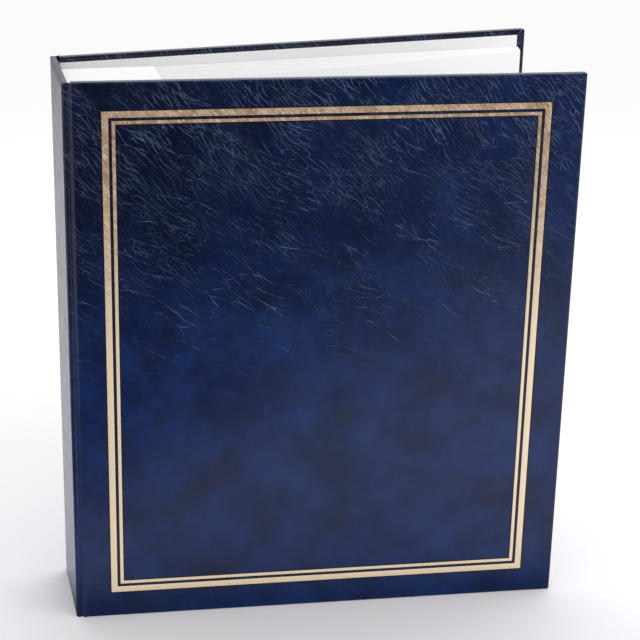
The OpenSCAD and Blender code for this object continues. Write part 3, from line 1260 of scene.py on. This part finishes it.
    def endpaper(self) -> bpy.types.Object:
        """The white endpaper, which lies over the turn-ins and sinks to the board inside them.

        Returns:
            The piece.
        """
        fore, foot, head = CASE.cover_w - CASE.turn_in, CASE.turn_in, CASE.height - CASE.turn_in
        marks = [k * self.paper_ease / 4 for k in range(-1, 6)]
        xs = lines(CASE.joint_x + self.paper_joint, CASE.cover_w - self.paper_fore, self.paper_step,
                   [fore - m for m in marks])
        zs = lines(self.paper_ends, CASE.height - self.paper_ends, self.paper_step,
                   [foot + m for m in marks] + [head - m for m in marks])
        x, z = np.meshgrid(xs, zs, indexing="ij")
        inside = least(fore - x, z - foot, head - z)
        under = CASE.cover_in - CASE.skin_t * smooth(inside, 0.0, self.paper_ease)
        weave = Weave()
        low = weave.add(np.stack([x, under + self.paper_lift, z], axis=-1))
        high = weave.add(np.stack([x, under + self.paper_t, z], axis=-1))
        weave.sheet(low)
        weave.sheet(high, flip=True)
        weave.band(face_edge(low), face_edge(high))
        return dress(weave.piece(f"{self.side.value}_endpaper", self.side.swung), self.finishes.endpaper)

    def gold_line(self, name: str, a: float, b: float) -> bpy.types.Object:
        """One gold line as foil pressed into its groove.

        Args:
            name: The piece's name.
            a: The line's outer inset in the frame.
            b: Its inner inset.

        Returns:
            The foil.
        """
        gold = self.gold
        profile = [(a + inset, rise) for inset, rise in gold.foil_edge] + [((a + b) / 2, 1.0)]
        profile += [(b - inset, rise) for inset, rise in gold.foil_edge[::-1]]
        weave = Weave()
        rows = []
        for inset, rise in profile:
            flat = gold.outline(inset)
            x, z = flat.T
            depth = self.face_depth(x, z) - gold.sunk(x, z) + gold.groove - gold.foil * rise
            rows.append(weave.add(np.stack([x, depth, z], axis=-1), flat))
        for first, second in zip(rows, rows[1:] + rows[:1]):
            weave.band(first, second)
        return dress(weave.piece(name, self.side.swung), self.finishes.foil)

    def build(self) -> None:
        """Makes every layer of the cover and sets it on its body."""
        side, body = self.side.value, self.side.body
        seat(self.skin(), body, f"{side}_leatherette", "blue_leatherette")
        foam = self.foam()
        seat(foam, body, f"{side}_padding", "foam")
        seat(self.endpaper(), body, f"{side}_pastedown", "white_paper")
        dress(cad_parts[f"{side}_board"], self.finishes.board)
        if self.gold:
            for name, band in zip(("gold_thick_line", "gold_thin_line"), self.gold.bands()):
                seat(self.gold_line(name.replace("gold", "foil"), *band), body, name, "gold_foil")


@dataclass
class Spine:
    """The spine's leatherette and lining, and the two flexible joints."""

    finishes: Finishes
    fold: float = 0.7
    seed: float = 5.5
    face_sink: float = 0.05
    face_ripple: float = 0.7
    face_ease: float = 8.0
    cap_edge: float = 0.1
    groove: float = 0.34
    groove_from: float = 1.9
    groove_to: float = 3.2
    rise_from: float = 3.3
    rise_to: float = 5.5
    ridge: float = 0.02
    strip_end: float = 5.75
    bend_end: float = 4.6
    nose_steps: int = 8
    crease: float = 0.09
    sway: float = 0.03
    lining_t: float = 0.12
    lining_lift: float = 0.02
    paper_end: float = 6.4
    paper_ends: float = 3.0

    def wrapped(self) -> bpy.types.Object:
        """The leatherette over the spine's outer face, head and foot, with its turn-ins.

        Returns:
            The piece.
        """
        r, deep, high = self.fold, CASE.spine_in, CASE.height
        quarter = arc(0, 22.5, 45, 67.5, 90)
        head = [(r * (1 - c), high - r * (1 - s)) for s, c in quarter]
        head += [(deep - r * (1 - s), high - r * (1 - c)) for s, c in quarter]
        head.append((deep, high - CASE.turn_in))
        face = [(0.0, float(z)) for z in lines(r, high - r, 5.0)[1:-1]]
        path = np.array([(x, high - z) for x, z in head[::-1]] + face + head)
        run = np.concatenate([[0.0], np.cumsum(np.linalg.norm(np.diff(path, axis=0), axis=1))])
        run += r - run[len(head) - 1]
        ys = lines(CASE.hinge_r, CASE.spine_w - CASE.hinge_r, 3.0)
        y, x = np.meshgrid(ys, path[:, 0], indexing="ij")
        z = np.broadcast_to(path[:, 1], x.shape)
        edge = least(y - CASE.hinge_r, CASE.spine_w - CASE.hinge_r - y, z - r, high - r - z)
        ripple = self.face_sink + self.face_ripple * PADDING.ripple(y, z, self.seed)
        sunk = (x < 1e-6) * smooth(edge, 0.0, self.face_ease) * ripple
        along = 2 * CASE.hinge_r - math.pi / 2 * CASE.hinge_r - y
        cloth = np.stack([along, np.broadcast_to(run, x.shape)], axis=-1)
        weave = Weave()
        weave.sheet(weave.add(np.stack([x + sunk, y, z], axis=-1), cloth))
        piece = weave.piece("spine_leatherette_cover", standing, closed=False, flip=True)
        thicken(piece, CASE.skin_t)
        self._note_places(piece)
        return dress(piece, self.finishes.leatherette)

    def _note_places(self, piece: bpy.types.Object) -> None:
        """Stores what the leatherette's material reads: scuffing with a painted sheen at the head and the
        foot, and no stamping.

        Args:
            piece: The leatherette.
        """
        x, _, z = in_plan(points_of(piece)).T
        rim = np.minimum(z, CASE.height - z)
        # The head and the foot lighten, partly as scuffing and partly as a painted highlight on the rounded
        # edges.
        note(piece, "wear_and_sheen", 0.6 * smooth(rim, 1.6, 0.2) * smooth(x, 3.2, 2.6))
        note(piece, "stamped", np.zeros(len(x)))

    def nose_caps(self) -> bpy.types.Object:
        """The folded leatherette that closes the rounded noses at the head and the foot.

        Returns:
            The piece.
        """
        x, r, soft = CASE.hinge_r, CASE.nose_r, self.cap_edge
        weave = Weave()
        for start, y in ((180, CASE.hinge_r), (0, CASE.spine_w - CASE.hinge_r)):
            turns = np.radians(start + 15.0 * np.arange(13))
            for low, high in ((0.0, CASE.skin_t), (CASE.height - CASE.skin_t, CASE.height)):
                profile = ((0.0, low), (r, low), (r, high - soft), (r - soft, high), (0.0, high))
                points = np.array([[(x + radius * math.cos(a), y + radius * math.sin(a), z) for a in turns]
                                   for radius, z in profile])
                grid = weave.add(points, points[..., :2])
                weave.sheet(grid)
                for end in (0, -1):
                    weave.face(*grid[:, end])
        piece = weave.piece("spine_nose_caps", standing)
        self._note_places(piece)
        return dress(piece, self.finishes.leatherette)

    def ribbon(self, name: str, path: np.ndarray, zs: Sequence[float], place: Placing) -> bpy.types.Object:
        """A thin strip of white paper that runs up the case.

        Args:
            name: The piece's name.
            path: The strip's line across the case, as rows of x and y, with its thickness to the right.
            zs: Heights of its rows of points.
            place: Moves the points to the album's frame.

        Returns:
            The strip.
        """
        step = np.gradient(path, axis=0)
        side = np.stack([step[:, 1], -step[:, 0]], axis=-1) / np.linalg.norm(step, axis=1)[:, None]
        weave = Weave()
        faces = []
        for flat in (path, path + side * self.lining_t):
            rows = [np.column_stack([flat, np.full(len(flat), z)]) for z in zs]
            faces.append(weave.add(np.array(rows)))
        first, second = faces
        weave.sheet(first)
        weave.sheet(second, flip=True)
        weave.band(face_edge(first), face_edge(second))
        return dress(weave.piece(name, place), self.finishes.endpaper)

    def lining(self) -> bpy.types.Object:
        """White paper over the inside of the spine and round its two noses.

        Returns:
            The piece.
        """
        r = CASE.nose_r + self.lining_lift
        turns = np.radians([-48.0, -36.0, -24.0, -12.0, 0.0])
        near = [(CASE.hinge_r + r * math.cos(a), CASE.hinge_r + r * math.sin(a)) for a in turns]
        far = [(x, CASE.spine_w - y) for x, y in near[::-1]]
        ys = lines(CASE.hinge_r, CASE.spine_w - CASE.hinge_r, 6.0)[1:-1]
        path = np.array(near + [(CASE.hinge_r + r, float(y)) for y in ys] + far)
        zs = lines(CASE.turn_in - 6.0, CASE.height - CASE.turn_in + 6.0, 40.0)
        return self.ribbon("spine_lining_paper", path, zs, standing)

    def strip_face(self, x: float) -> float:
        """Depth of the joint's outer face.

        Args:
            x: Distance from the spine's outer face.

        Returns:
            The depth.
        """
        dip = self.groove * float(smooth(x, self.groove_from, self.groove_to))
        climb = CASE.cover_proud + self.groove + self.ridge
        rise = climb * float(smooth(x, self.rise_from, self.rise_to))
        return dip - rise + self.ridge * float(smooth(x, self.rise_to, self.strip_end))

    def section(self) -> tuple[np.ndarray, np.ndarray]:
        """The joint's cut: round the spine's nose, down in a groove and up to the cover.

        Returns:
            Rows of x and y, out along the outer face and back along the inner one, and how far along the
            cloth each of them lies.
        """
        r, t, proud = CASE.hinge_r, CASE.skin_t, CASE.cover_proud
        steps = self.nose_steps
        turns = np.radians(np.linspace(180, 270, steps + 1))
        nose = [(r + r * math.cos(a), r + r * math.sin(a)) for a in turns]
        across = [1.95, 2.2, 2.45, 2.7, 2.95, 3.2, 3.4, 3.6, 3.8, 4.0, 4.2, 4.4, 4.6, 4.8, 5.0, 5.2, 5.4,
                  self.strip_end]
        outer = nose + [(x, self.strip_face(x)) for x in across]
        inner = [(r + (x - r) * (r - t) / r, r + (y - r) * (r - t) / r) for x, y in nose]
        over = CASE.joint_x + proud
        for x in across:
            under = self.strip_face(x) + t
            if x >= CASE.joint_x:
                rounding = math.sqrt(max(0.0, proud ** 2 - (over - min(x, over)) ** 2))
                under = min(under, -rounding - 0.005)
            inner.append((x, max(under, self.strip_face(x) + 0.004)))
        along = [r - r * math.pi / 2 * (steps - k) / steps for k in range(steps + 1)] + across
        return np.array(outer + inner[::-1]), np.array(along + along[::-1])

    def joint(self, side: Side) -> bpy.types.Object:
        """The flexible joint between the spine and a cover.

        Args:
            side: The cover's side of the case.

        Returns:
            The piece.
        """
        loop, along = self.section()
        count = len(loop)
        x, y = loop.T
        soft = smooth(x, 2.6, 3.6) * smooth(x, 5.5, 4.9)
        zs = lines(0.0, CASE.height, 2.0)
        weave = Weave()
        rings = []
        for z in zs:
            near_head = float(smooth(z, CASE.height * 0.55, CASE.height * 0.95))
            crease = [self.crease * near_head * noise.noise(Vector((a * 0.5, z * 0.42, 2.0)))
                      + self.sway * noise.noise(Vector((0.0, z * 0.05, 7.0))) for a in x]
            high = np.full(count, z)
            ring = np.column_stack([x, y + soft * crease, high])
            rings.append(weave.add(ring, side.on_sheet(np.column_stack([along, high]))))
        for low, above in zip(rings, rings[1:]):
            weave.band(low, above)
        for row in (rings[0], rings[-1]):
            for k in range(count // 2 - 1):
                weave.face(row[k], row[k + 1], row[-k - 2], row[-k - 1])
        shares = np.tile(smooth(x, CASE.hinge_r, self.bend_end), len(zs))
        piece = weave.piece(f"{side.value}_joint_leatherette", lambda p: side.swung(p, shares))
        high = points_of(piece)[:, 2] / MM
        # Painted highlight: the slope up to the cover is lightened into a light line. The head and the foot
        # get scuffing with a painted sheen.
        rising = np.tile(smooth(x, self.rise_from, 3.8) * smooth(x, self.strip_end, 5.2), len(zs))
        note(piece, "wear_and_sheen", np.maximum(rising, 0.35 * smooth(np.minimum(high, CASE.height - high), 3.0, 0.0)))
        note(piece, "stamped", np.zeros(len(high)))
        return dress(piece, self.finishes.leatherette)

    def joint_paper(self, side: Side) -> bpy.types.Object:
        """White paper down the inside of a joint, from the cover's inside to the spine's nose.

        Args:
            side: The cover's side of the case.

        Returns:
            The piece.
        """
        path = np.array([(self.paper_end, 4.24), (5.40, 4.22), (4.95, 4.14), (4.74, 3.92), (4.70, 3.50),
                         (4.70, 2.40), (4.70, 1.20), (4.66, 0.62), (4.50, 0.40), (4.20, 0.42), (3.80, 0.62),
                         (3.40, 0.78), (3.05, 0.80), (2.72, 0.70)])
        zs = lines(self.paper_ends, CASE.height - self.paper_ends, 20.0)
        shares = np.tile(smooth(path[:, 0], CASE.hinge_r, self.bend_end), 2 * len(zs))
        return self.ribbon(f"{side.value}_joint_paper", path, zs, lambda p: side.swung(p, shares))

    def build(self) -> None:
        """Makes the spine's pieces and the joints, and sets the spine's own pieces on the spine's body."""
        seat(self.wrapped(), Body.SPINE, "spine_leatherette", "blue_leatherette")
        seat(self.nose_caps(), Body.SPINE, "spine_leatherette", "blue_leatherette")
        seat(self.lining(), Body.SPINE, "spine_lining", "white_paper")
        dress(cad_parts["spine_board"], self.finishes.board)
        middle = CASE.height / 2
        for side in Side:
            a, b = side.swung(np.array([[CASE.hinge_r, 0.0, middle], [self.bend_end, 0.0, middle]]))
            strips = ((self.joint(side), "blue_leatherette"), (self.joint_paper(side), "white_paper"))
            for strip, slot in strips:
                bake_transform(strip)
                stands_for(strip, f"{side.value}_joint", slot)


# The leaves and their binding


class Tree(Sketch):
    """A geometry tree with named inputs, written with short calls."""

    def __init__(self, name: str, inputs: dict[str, str]) -> None:
        """Starts a tree.

        Args:
            name: The tree's name.
            inputs: The type of each named input.
        """
        super().__init__(bpy.data.node_groups.new(name, "GeometryNodeTree"))
        self.sockets: dict[str, str] = {}
        for label, kind in inputs.items():
            made = self.tree.interface.new_socket(name=label, in_out="INPUT", socket_type=f"NodeSocket{kind}")
            self.sockets[label] = made.identifier
        self.tree.interface.new_socket(name="Geometry", in_out="OUTPUT", socket_type="NodeSocketGeometry")
        self.entry = self.tree.nodes.new("NodeGroupInput")

    def given(self, label: str) -> Socket:
        """One of the tree's inputs."""
        return self.entry.outputs[label]

    def joined(self, values: dict[int, Value]) -> Socket:
        """A vector from its numbered coordinates, 0 where none is given."""
        return self.node("ShaderNodeCombineXYZ", values).outputs[0]

    def moved(self, geometry: Value, way: Value) -> Socket:
        """Geometry moved by a vector."""
        return self.node("GeometryNodeTransform", {"Geometry": geometry, "Translation": way}).outputs[0]

    def finish(self, geometry: Value, material: Value) -> None:
        """Ends the tree with plain meshes in one material.

        Args:
            geometry: What the tree has made.
            material: Its material.
        """
        real = self.node("GeometryNodeRealizeInstances", {0: geometry}).outputs[0]
        dressed = self.node("GeometryNodeSetMaterial", {"Geometry": real, "Material": material}).outputs[0]
        self.node("NodeGroupOutput", {0: dressed})

    def grow(self, name: str, values: dict[str, Value],
             seed_mesh: Optional[bpy.types.Mesh] = None) -> bpy.types.Object:
        """Makes a piece with this tree and turns it into a plain mesh.

        Args:
            name: The piece's name.
            values: A value for each named input.
            seed_mesh: The mesh that the tree starts from, if it needs one.

        Returns:
            The piece.
        """
        piece = added(name, seed_mesh or bpy.data.meshes.new(name))
        maker = piece.modifiers.new("grow", "NODES")
        maker.node_group = self.tree
        for label, value in values.items():
            maker[self.sockets[label]] = value
        bpy.context.view_layer.update()
        settle(piece)
        soften(piece)
        return piece


def leaf_tree() -> Tree:
    """The tree that makes one leaf: a sheet that bends at its crease and waves a little.

    Returns:
        The tree. Its lengths are metres and its lean is radians.
    """
    columns, rows = 97, 17
    bend_from, bend_to = -0.0004, 0.0009
    still_to, free_from = 0.004, 0.070
    waves_along, waves_up = 34.0, 13.0
    t = Tree("leaf sheet", {
        "Width": "Float", "Height": "Float", "Thickness": "Float", "Crease": "Float", "Lean": "Float",
        "Wave": "Float", "Place": "Vector", "Material": "Material",
    })
    wide = t.maths("ADD", t.given("Width"), t.given("Crease"))
    size = t.joined({0: wide, 1: t.given("Thickness"), 2: t.given("Height")})
    counts = {"Vertices X": columns, "Vertices Y": 2, "Vertices Z": rows}
    cube = t.node("GeometryNodeMeshCube", {"Size": size, **counts}).outputs[0]
    half = t.more(wide, 0.5, t.times(t.given("Crease"), -1.0))
    sheet = t.moved(cube, t.joined({0: half, 2: t.times(t.given("Height"), 0.5)}))
    here = t.node("GeometryNodeInputPosition").outputs[0]
    x, z = t.axis(here, 0), t.axis(here, 2)
    phase = t.maths("ADD", t.times(x, waves_along), t.times(z, waves_up))
    wave = t.times(t.times(t.maths("SINE", phase), t.given("Wave")), t.ramp(x, still_to, free_from))
    waved = t.node("GeometryNodeSetPosition", {"Geometry": sheet, "Offset": t.joined({1: wave})}).outputs[0]
    turn = t.times(t.given("Lean"), t.ramp(x, bend_from, bend_to))
    leant = t.node("ShaderNodeVectorRotate", {"Vector": here, "Angle": turn}, rotation_type="Z_AXIS")
    bent = t.node("GeometryNodeSetPosition", {"Geometry": waved, "Position": leant.outputs[0]}).outputs[0]
    t.finish(t.moved(bent, t.given("Place")), t.given("Material"))
    return t


def row_tree() -> Tree:
    """The tree that repeats a small part along a straight row.

    Returns:
        The tree. Its lengths are metres.
    """
    t = Tree("row of parts", {
        "Geometry": "Geometry", "Count": "Int", "Start": "Vector", "Step": "Vector", "Material": "Material",
    })
    row = t.node("GeometryNodeMeshLine", {"Count": t.given("Count"), "Start Location": t.given("Start"),
                                          "Offset": t.given("Step")}).outputs[0]
    parts = t.node("GeometryNodeInstanceOnPoints", {"Points": row, "Instance": t.given("Geometry")})
    t.finish(parts.outputs[0], t.given("Material"))
    return t


@dataclass
class LeafBlock:
    """Twenty white leaves that bend at their creases."""

    finishes: Finishes
    count: int = 20
    thickness: float = 0.35
    pitch: float = 1.85
    first_y: float = 8.675
    crease_x: float = 56.075
    crease_back: float = 0.475
    crease_ahead: float = 1.2
    turning_w: float = 215.525
    height: float = 311.0
    inset: float = 4.5
    last_lean: float = 4.4
    fore_gap: float = 0.2
    wave: float = 0.22
    uneven: float = 0.25
    trim_front: float = 1.3
    trim_back: float = 1.5

    def lean(self, i: int) -> float:
        """How far a leaf leans towards the back cover.

        Args:
            i: The leaf's number, from 0 at the front.

        Returns:
            The angle, in radians.
        """
        last = self.first_y + (self.count - 1) * self.pitch
        fore = last + self.turning_w * math.sin(math.radians(self.last_lean))
        fore -= (self.count - 1 - i) * (self.thickness + self.fore_gap)
        return math.asin((fore - self.first_y - i * self.pitch) / self.turning_w)

    def build(self) -> None:
        """Makes the leaves and sets each across its crease."""
        tree = leaf_tree()
        rng = np.random.default_rng(11)
        for i in range(self.count):
            name, lean = f"leaf_{i + 1:02d}", self.lean(i)
            low, short = rng.uniform(0.0, self.uneven, 2)
            short += self.trim_back * i / (self.count - 1) - self.trim_front
            spot = standing([self.crease_x, self.first_y + i * self.pitch, self.inset + low * 0.4])
            piece = tree.grow(f"{name}_sheet", {
                "Width": (self.turning_w - short) * MM, "Height": (self.height - low) * MM,
                "Thickness": self.thickness * MM, "Crease": self.crease_back * MM, "Lean": lean,
                "Wave": self.wave * MM, "Place": tuple(spot), "Material": self.finishes.leaf,
            })
            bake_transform(piece)
            stands_for(piece, name, "leaf_card")
        dress(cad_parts["guard_strips"], self.finishes.card)
        dress(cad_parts["leaf_stubs"], self.finishes.leaf)


@dataclass
class Binding:
    """Three screwed posts through two card flanges."""

    finishes: Finishes
    count: int = 3
    sides: int = 40
    post_x: float = 21.6
    flange_y0: float = 6.2
    flange_y1: float = 46.3
    first_z: float = 54.5
    step_z: float = 105.5
    post_r: float = 2.5
    head_r: float = 5.0
    head_t: float = 1.3
    rim: float = 0.35
    edge: float = 0.1
    screw_r: float = 1.5
    screw_l: float = 9.0
    screw_tip: float = 0.3
    bore_r: float = 1.55
    bore_l: float = 10.0
    slot_w: float = 1.2
    slot_d: float = 0.6

    def turned(self, name: str, profile: Sequence[Pair]) -> bpy.types.Mesh:
        """A turned part with its axis along y.

        Args:
            name: The mesh's name.
            profile: Radius and y of each point, from one end of the axis to the other.

        Returns:
            The mesh, in metres.
        """
        turns = [2 * math.pi * k / self.sides for k in range(self.sides)]
        weave = Weave()
        rows = [weave.add(np.array([(radius * math.cos(a), y, radius * math.sin(a)) for a in turns]))
                for radius, y in profile]
        for first, second in zip(rows, rows[1:]):
            weave.band(first, second)
        piece = weave.piece(name, lambda p: p * MM)
        mesh = piece.data
        bpy.data.objects.remove(piece)
        return mesh

    def head(self) -> list[Pair]:
        """A flat head with a soft rim.

        Returns:
            Radius and y of each point, from the middle of the outer face to the inner face, at y 0.
        """
        r, top, rim, edge = self.head_r, -self.head_t, self.rim, self.edge
        return [(0.0, top), (r - rim - 0.6, top), (r - rim, top + 0.06), (r - edge, top + rim * 0.6),
                (r, top + rim + 0.2), (r, -edge), (r - edge, 0.0)]

    def post(self) -> bpy.types.Mesh:
        """A post: a flat head, a tube and its blind bore.

        Returns:
            The mesh, in metres.
        """
        length = self.flange_y1 - self.flange_y0
        bottom = length - self.bore_l
        tube = [(self.post_r, 0.0), (self.post_r, length), (self.bore_r, length), (self.bore_r, bottom),
                (0.0, bottom)]
        return self.turned("post", self.head() + tube)

    def screw(self) -> bpy.types.Mesh:
        """A screw: a slotted head and a shank.

        Returns:
            The mesh, in metres.
        """
        r, end, tip = self.screw_r, -self.screw_l, self.screw_tip
        shank = [(0.0, end), (r - tip, end), (r, end + tip), (r, 0.0)]
        head = [(radius, -y) for radius, y in self.head()[::-1]]
        body = added("screw body", self.turned("screw", shank + head))
        cutter_mesh = bpy.data.meshes.new("slot")
        work = bmesh.new()
        bmesh.ops.create_cube(work, size=1.0)
        size = Vector((4 * self.head_r, 2 * self.slot_d, self.slot_w)) * MM
        bmesh.ops.transform(work, matrix=Matrix.Diagonal((*size, 1.0)), verts=work.verts)
        bmesh.ops.translate(work, vec=Vector((0.0, self.head_t * MM, 0.0)), verts=work.verts)
        work.to_mesh(cutter_mesh)
        work.free()
        cutter = added("slot", cutter_mesh)
        cut = body.modifiers.new("slot", "BOOLEAN")
        cut.operation = "DIFFERENCE"
        cut.object = cutter
        cut.solver = "EXACT"
        bpy.context.view_layer.update()
        settle(body)
        made = body.data
        bpy.data.objects.remove(body)
        bpy.data.objects.remove(cutter)
        bpy.data.meshes.remove(cutter_mesh)
        return made

    def build(self) -> None:
        """Makes the posts and the screws, and dresses the flanges."""
        tree = row_tree()
        for name, node, mesh, y in (("post_row", "binding_posts", self.post(), self.flange_y0),
                                    ("screw_row", "binding_screws", self.screw(), self.flange_y1)):
            piece = tree.grow(name, {
                "Count": self.count, "Start": tuple(standing([self.post_x, y, self.first_z])),
                "Step": (0.0, 0.0, self.step_z * MM), "Material": self.finishes.brass,
            }, mesh)
            seat(piece, Body.SPINE, node, "brass")
        for node in ("front_flange", "back_flange"):
            dress(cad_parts[node], self.finishes.card)


# The studio


@dataclass(frozen=True)
class Lamp:
    """One soft lamp: where it stands, where it looks, its size and its power."""

    name: str
    place: Spot
    aim: Spot
    width: float
    depth: float
    power: float

    def hang(self) -> None:
        """Puts the lamp in the scene."""
        data = bpy.data.lights.new(self.name, "AREA")
        data.shape = "RECTANGLE"
        data.size, data.size_y, data.energy = self.width, self.depth, self.power
        lamp = added(self.name, data)
        lamp.location = self.place
        lamp.visible_glossy = False
        lamp.rotation_euler = (Vector(self.aim) - Vector(self.place)).to_track_quat("-Z", "Y").to_euler()


@dataclass
class Studio:
    """The camera, a pale floor with painted shade in front of the album, soft lamps and a pale world.

    Gloss alone sees the dark room that lies in front of the album.
    """

    eye: Spot = (-0.236100, -0.998000, 0.577000)
    yaw: float = 13.747
    pitch: float = 21.925
    roll: float = 1.350
    lens: float = 106.60
    sensor: float = 36.0
    nearest: float = 0.01
    farthest: float = 100.0
    pale: Colour = (0.965, 0.965, 0.975)
    # The floor's colour is painted darker near the front, as shade.
    floor_near: Colour = (0.882, 0.865, 0.900)
    floor_far: Colour = (0.94, 0.938, 0.95)
    floor_reach: float = 30.0
    dark_way: Spot = (-1.1, -1.0, 0.0)
    cover_way: Spot = (-0.075, -0.997, 0.0)
    room: float = 0.012
    even_light: float = 0.76
    lamps: tuple[Lamp, ...] = (
        Lamp("overhead lamp", (0.30, 0.50, 1.45), (0.0, 0.0, 0.10), 1.7, 1.2, 10.5),
        Lamp("side lamp", (1.00, -0.80, 0.70), (0.14, 0.0, 0.10), 0.7, 0.7, 3.2),
        Lamp("head lamp", (-0.12, -0.34, 0.86), (0.0, -0.02, 0.28), 0.5, 0.22, 0.65),
    )

    def camera(self) -> None:
        """Sets the camera where the photograph was taken from."""
        data = bpy.data.cameras.new("camera")
        data.sensor_width, data.lens = self.sensor, self.lens
        data.clip_start, data.clip_end = self.nearest, self.farthest
        yaw, pitch, roll = (math.radians(a) for a in (self.yaw, self.pitch, self.roll))
        ahead = Vector((math.sin(yaw) * math.cos(pitch), math.cos(yaw) * math.cos(pitch), -math.sin(pitch)))
        level = Vector((math.cos(yaw), -math.sin(yaw), 0.0))
        over = level.cross(ahead)
        right = level * math.cos(roll) + over * math.sin(roll)
        up = over * math.cos(roll) - level * math.sin(roll)
        turned = Matrix((right, up, -ahead)).transposed().to_4x4()
        seen = added("camera", data)
        seen.matrix_world = Matrix.Translation(self.eye) @ turned
        bpy.context.scene.camera = seen

    def floor(self) -> None:
        """A wide pale floor that fades into the background, with painted shade in front of the album. Gloss
        sees it end in the dark room, and sees a painted shadow just in front of the foot.
        """
        f = Finish("pale floor")
        place = f.place()
        aside, behind = f.axis(place, 0), f.axis(place, 1)
        distance = f.vector("LENGTH", place)
        mirrored = f.node("ShaderNodeLightPath").outputs["Is Glossy Ray"]
        far = f.most(f.ramp(distance, 0.45, 1.5), f.times(f.ramp(behind, 0.05, 0.40), mirrored))
        # Painted shade: the floor is a little darker in front of the album than behind it.
        tone = f.blend(f.ramp(behind, -0.30, 0.60), self.floor_near, self.floor_far)
        matt = f.node("ShaderNodeBsdfDiffuse", {"Color": tone}).outputs[0]
        glow = f.node("ShaderNodeEmission", {"Color": self.pale}).outputs[0]
        open_floor = f.node("ShaderNodeMixShader", {0: far, 1: matt, 2: glow}).outputs[0]
        room = f.ramp(f.vector("DOT_PRODUCT", place, self.dark_way), 0.24, 0.44)
        room = f.times(room, f.ramp(aside, -0.62, -0.36))
        beyond = f.ramp(distance, 0.90, 1.70, 0.0, 0.65)
        # Painted shadow: gloss sees the floor darkened just in front of the album's foot.
        ahead = f.vector("DOT_PRODUCT", place, self.cover_way)
        foot = f.times(f.ramp(ahead, 0.050, 0.100, 0.75, 0.0), f.ramp(ahead, 0.0, 0.040))
        dark = f.times(f.most(f.most(room, beyond), foot), mirrored)
        dim = f.node("ShaderNodeEmission", {"Color": (self.room,) * 3}).outputs[0]
        shader = f.node("ShaderNodeMixShader", {0: dark, 1: open_floor, 2: dim}).outputs[0]
        f.node("ShaderNodeOutputMaterial", {"Surface": shader})
        mesh = bpy.data.meshes.new("floor")
        wide = self.floor_reach
        mesh.from_pydata([(-wide, -wide, 0.0), (wide, -wide, 0.0), (wide, wide, 0.0), (-wide, wide, 0.0)],
                         [], [(0, 1, 2, 3)])
        dress(added("floor", mesh), f.material)

    def world(self) -> None:
        """A pale background, and softer even light for everything else."""
        world = bpy.data.worlds.new("studio")
        world.use_nodes = True
        s = Sketch(world.node_tree)
        s.tree.nodes.clear()
        rays = s.node("ShaderNodeLightPath").outputs
        way = s.node("ShaderNodeTexCoord").outputs["Generated"]
        # Painted reflection: gloss alone sees a dark room in front of the album and to its left.
        room = s.ramp(s.vector("DOT_PRODUCT", way, self.dark_way), -0.3, 0.2)
        room = s.times(room, s.ramp(s.axis(way, 0), -0.85, -0.60))
        dark = s.most(room, s.ramp(s.axis(way, 1), 0.75, 0.35, 0.0, 0.60))
        mirror = s.blend(dark, self.pale, (self.room,) * 3)
        seen = s.blend(rays["Is Glossy Ray"], self.pale, mirror)
        clear = s.most(s.most(rays["Is Camera Ray"], rays["Is Transmission Ray"]), rays["Is Glossy Ray"])
        bright = s.node("ShaderNodeBackground", {"Color": seen, "Strength": 1.0}).outputs[0]
        even = {"Color": (1.0, 1.0, 1.0), "Strength": self.even_light}
        soft = s.node("ShaderNodeBackground", even).outputs[0]
        both = s.node("ShaderNodeMixShader", {0: clear, 1: soft, 2: bright}).outputs[0]
        s.node("ShaderNodeOutputWorld", {"Surface": both})
        bpy.context.scene.world = world

    def build(self) -> None:
        """Makes the whole studio."""
        self.camera()
        self.floor()
        self.world()
        for lamp in self.lamps:
            lamp.hang()
            LOG.info("%s, %s W", lamp.name, lamp.power)
        bpy.context.scene.view_settings.view_transform = "Standard"


def main() -> None:
    """Builds the studio and then the album, piece by piece."""
    logging.basicConfig(level=logging.INFO, format="%(name)s: %(message)s")
    Studio().build()
    finishes = Finishes()
    for side in Side:
        Cover(side, finishes).build()
    Spine(finishes).build()
    LeafBlock(finishes).build()
    Binding(finishes).build()
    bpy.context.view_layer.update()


if __name__ == "__main__":
    main()
